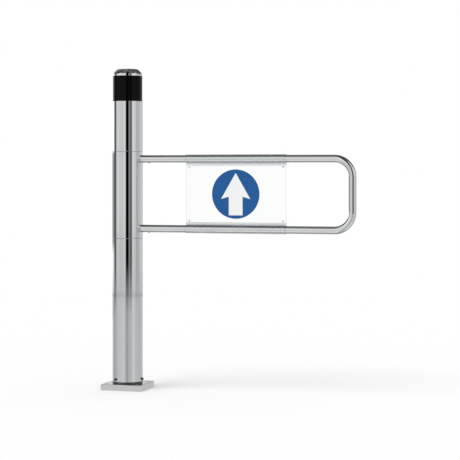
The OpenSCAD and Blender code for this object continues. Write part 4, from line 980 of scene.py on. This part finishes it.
@dataclass
class Studio:
    """Pale floor, soft light, white surroundings and the camera of the photograph."""

    image_px: int = 460
    focal_px: float = 1636.3
    axis_row_px: float = 170.9
    camera_azimuth_deg: float = 19.95
    camera_turn_deg: float = -3.582
    camera_distance: float = 5.5
    camera_height: float = 0.7295
    sensor_mm: float = 36.0
    clip_end: float = 100.0
    floor_r: float = 4.1
    floor_steps: int = 128
    floor_colour: str = "#ECEDEC"
    dome_level: float = 0.72
    sun_level: float = 0.28
    sun_tilt_deg: float = 35.0
    sun_turn_deg: float = -40.0
    sun_width_deg: float = 40.0

    # What polished metal sees round the horizon: white walls, grey cards and dark gaps between them, by
    # degrees to the right of the camera's side
    walls: tuple[Point, ...] = (
        (-180, 1.15), (-172, 1.7), (-130, 1.7), (-114, 0.1), (-101, 0.12), (-97, 0.6), (-88, 0.95),
        (-74, 1.07), (-64, 0.93), (-35, 0.91), (-24, 1.08), (-17, 0.95), (-11, 0), (7.5, 0), (9.5, 0.4),
        (17, 0.4), (19, 0.17), (31, 0.17), (35, 0.9), (45, 1.12), (56, 0.95), (68, 0.9), (72, 0.66),
        (90, 0.74), (115, 0.86), (135, 0.92), (150, 0.75), (165, 0.6), (175, 0.6), (180, 1.15))
    # What it sees of the ground round it, by the same degrees
    ground: tuple[Point, ...] = (
        (-180, 0.9), (-155, 0.8), (-130, 0.53), (-110, 0.5), (-90, 0.7), (-75, 0.84), (-45, 0.87),
        (-28, 0.94), (-12, 0.64), (-2, 0.52), (5, 0.6), (12, 0.76), (20, 0.69), (30, 0.76), (42, 0.95),
        (52, 0.94), (62, 0.8), (75, 0.76), (90, 0.73), (104, 0.62), (117, 0.6), (134, 0.7), (160, 0.55),
        (180, 0.55))
    # Both by height, in degrees above the horizon, as a share: on the camera's side, and on the far side
    near_side: tuple[Point, ...] = (
        (-90, 0.65), (-70, 0.8), (-60, 1.3), (-40, 1.3), (-33, 1), (-5, 1), (-4, 0.88), (-2.3, 0.88),
        (-1.9, 1), (3, 1), (8, 1.3), (28, 1.3), (35, 1), (50, 0.9), (58, 0.2), (90, 0.2))
    far_side: tuple[Point, ...] = (
        (-90, 0.65), (-60, 0.65), (-40, 0.8), (-5, 1.2), (-4, 1), (4.5, 1), (6.2, 0.66), (14, 0.5),
        (22, 0.12), (60, 0.12), (90, 0.2))
    # A grey card low behind the gate on the left: how much light it takes, by the degrees round and by height
    card_round: tuple[Point, ...] = ((-180, 0.74), (-135, 0.74), (-116, 0.6), (-110, 0), (180, 0))
    card_rise: tuple[Point, ...] = (
        (-5.2, 0), (-4.6, 0.4), (-2.9, 0.4), (-2.45, 1), (0.62, 1), (0.7, 0))
    # The dark joint where the floor meets the walls: its height, half its width, and the light that it leaves
    joint_deg: Point = (-4.33, 0.05)
    joint_level: float = 0.7
    # Where the ground gives way to the walls, and the camera's side to the far side, by the cosine to it
    ground_edge_deg: Point = (-5.0, -3.3)
    far_side_turn: Point = (0.15, -0.3)

    def build(self) -> None:
        """Sets up the camera, the world, the lamp and the floor."""
        self.camera()
        self.world()
        self.lamp()
        self.floor()
        bpy.context.scene.view_settings.view_transform = "Standard"

    def camera(self) -> None:
        """Places the camera level, at the photograph's angle, with its shift down."""
        data = bpy.data.cameras.new("photo_camera")
        data.sensor_width = self.sensor_mm
        data.sensor_fit = "HORIZONTAL"
        data.lens = self.focal_px * self.sensor_mm / self.image_px
        data.shift_y = (self.axis_row_px - self.image_px / 2) / self.image_px
        data.clip_end = self.clip_end
        camera = bpy.data.objects.new("photo_camera", data)
        azimuth = math.radians(self.camera_azimuth_deg)
        camera.location = (self.camera_distance * math.sin(azimuth),
                           -self.camera_distance * math.cos(azimuth), self.camera_height)
        yaw = math.radians(self.camera_azimuth_deg + self.camera_turn_deg)
        camera.rotation_euler = Euler((math.pi / 2, 0, yaw))
        bpy.context.scene.collection.objects.link(camera)
        bpy.context.scene.camera = camera

    def world(self) -> None:
        """Makes a white room whose cards and dark gaps only polished metal sees."""
        world = bpy.data.worlds.new("white_room")
        bpy.context.scene.world = world
        world.use_nodes = True
        tree = world.node_tree
        tree.nodes.clear()
        way = add_node(tree, "ShaderNodeTexCoord").outputs["Generated"]
        axes = add_node(tree, "ShaderNodeSeparateXYZ", None, {0: way})
        facing = math.radians(self.camera_azimuth_deg - 90)
        turn = add_node(tree, "ShaderNodeMath", {"operation": "ARCTAN2"},
                        {0: axes.outputs["Y"], 1: axes.outputs["X"]})
        share = add_node(tree, "ShaderNodeMapRange",
                         {"clamp": False, "From Min": facing - math.pi, "From Max": facing + math.pi},
                         {"Value": turn.outputs[0]})
        wrapped = add_node(tree, "ShaderNodeMath", {"operation": "FRACT"}, {0: share.outputs[0]})
        compass = add_node(tree, "ShaderNodeMapRange", {"To Min": -180.0, "To Max": 180.0},
                           {"Value": wrapped.outputs[0]}).outputs[0]
        rise = add_node(tree, "ShaderNodeMath", {"operation": "ARCSINE"}, {0: axes.outputs["Z"]})
        height = add_node(tree, "ShaderNodeMath", {"operation": "DEGREES"}, {0: rise.outputs[0]}).outputs[0]
        ahead = add_node(tree, "ShaderNodeVectorMath",
                         {"operation": "DOT_PRODUCT", 1: (math.cos(facing), math.sin(facing), 0)}, {0: way})
        above = add_node(tree, "ShaderNodeMapRange",
                         {"From Min": self.ground_edge_deg[0], "From Max": self.ground_edge_deg[1]},
                         {"Value": height})
        behind = add_node(tree, "ShaderNodeMapRange",
                          {"From Min": self.far_side_turn[0], "From Max": self.far_side_turn[1]},
                          {"Value": ahead.outputs["Value"]})
        around = add_node(tree, "ShaderNodeMix", {"data_type": "FLOAT"},
                          {0: above.outputs[0], 2: read_stops(tree, compass, self.ground),
                           3: read_stops(tree, compass, self.walls)})
        over = add_node(tree, "ShaderNodeMix", {"data_type": "FLOAT"},
                        {0: behind.outputs[0], 2: read_stops(tree, height, self.near_side),
                         3: read_stops(tree, height, self.far_side)})
        lit = add_node(tree, "ShaderNodeMath", {"operation": "MULTIPLY"},
                       {0: around.outputs[0], 1: over.outputs[0]})
        card = add_node(tree, "ShaderNodeMath", {"operation": "MULTIPLY"},
                        {0: read_stops(tree, compass, self.card_round),
                         1: read_stops(tree, height, self.card_rise)})
        past_card = add_node(tree, "ShaderNodeMath", {"operation": "SUBTRACT", 0: 1.0}, {1: card.outputs[0]})
        uncarded = add_node(tree, "ShaderNodeMath", {"operation": "MULTIPLY"},
                            {0: lit.outputs[0], 1: past_card.outputs[0]})
        joint = add_node(tree, "ShaderNodeMath",
                         {"operation": "COMPARE", 1: self.joint_deg[0], 2: self.joint_deg[1]}, {0: height})
        open_share = add_node(tree, "ShaderNodeMapRange", {"To Min": 1.0, "To Max": self.joint_level},
                              {"Value": joint.outputs[0]})
        metal = add_node(tree, "ShaderNodeMath", {"operation": "MULTIPLY"},
                         {0: uncarded.outputs[0], 1: open_share.outputs[0]})
        plain = add_node(tree, "ShaderNodeMapRange", {"To Min": self.dome_level, "To Max": 1.0},
                         {"Value": self.seen(tree)})
        level = add_node(tree, "ShaderNodeMix", {"data_type": "FLOAT"},
                         {0: self.mirrored(tree), 2: plain.outputs[0], 3: metal.outputs[0]})
        glow = add_node(tree, "ShaderNodeBackground", {"Color": (1, 1, 1, 1)}, {"Strength": level.outputs[0]})
        add_node(tree, "ShaderNodeOutputWorld", None, {"Surface": glow.outputs[0]})

    @staticmethod
    def seen(tree: Tree) -> Socket:
        """Returns one for what the camera sees straight or through clear sheet, else zero."""
        rays = add_node(tree, "ShaderNodeLightPath")
        return add_node(tree, "ShaderNodeMath", {"operation": "MAXIMUM"},
                        {0: rays.outputs["Is Camera Ray"], 1: rays.outputs["Is Transmission Ray"]}).outputs[0]

    @staticmethod
    def mirrored(tree: Tree) -> Socket:
        """Returns one for what is seen in a gloss, also through clear sheet, else zero."""
        rays = add_node(tree, "ShaderNodeLightPath")
        clean = add_node(tree, "ShaderNodeMath", {"operation": "LESS_THAN", 1: 0.5},
                         {0: rays.outputs["Diffuse Depth"]})
        return add_node(tree, "ShaderNodeMath", {"operation": "MINIMUM"},
                        {0: rays.outputs["Glossy Depth"], 1: clean.outputs[0]}).outputs[0]

    def lamp(self) -> None:
        """Adds one broad soft lamp, high on the left, which metal doesn't mirror."""
        data = bpy.data.lights.new("soft_lamp", "SUN")
        data.angle = math.radians(self.sun_width_deg)
        data.energy = self.sun_level * math.pi / math.cos(math.radians(self.sun_tilt_deg))
        lamp = bpy.data.objects.new("soft_lamp", data)
        lamp.rotation_euler = Euler((math.radians(self.sun_tilt_deg), 0, math.radians(self.sun_turn_deg)))
        lamp.visible_glossy = False
        lamp.visible_transmission = False
        bpy.context.scene.collection.objects.link(lamp)

    def floor(self) -> None:
        """Lays a round pale floor that shows white and keeps the gate's shadow, and that metal looks past."""
        rim = [(x, y, 0) for x, y in circle((0, 0), self.floor_r, self.floor_steps)]
        piece = add_mesh("floor", rim, [range(self.floor_steps)])
        material = bpy.data.materials.new("matt_pale_floor")
        material.use_nodes = True
        tree = material.node_tree
        tree.nodes.clear()
        tone = add_node(tree, "ShaderNodeMix",
                        {"data_type": "RGBA", 6: linear(self.floor_colour), 7: (1, 1, 1, 1)},
                        {0: self.seen(tree)})
        matt = add_node(tree, "ShaderNodeBsdfDiffuse", None, {"Color": tone.outputs[2]})
        clear = add_node(tree, "ShaderNodeBsdfTransparent")
        surface = add_node(tree, "ShaderNodeMixShader", None,
                           {0: self.mirrored(tree), 1: matt.outputs[0], 2: clear.outputs[0]})
        add_node(tree, "ShaderNodeOutputMaterial", None, {"Surface": surface.outputs[0]})
        piece.data.materials.append(material)


def main() -> None:
    """Builds the studio and the gate in order."""
    logging.basicConfig(level=logging.INFO, format="%(name)s: %(message)s")
    Studio().build()
    Internals().dress()
    for part in (Base(), Tubes(), Head(), Arm(), Sign()):
        LOG.info("building %s", type(part).__name__)
        part.build()


if __name__ == "__main__":
    main()
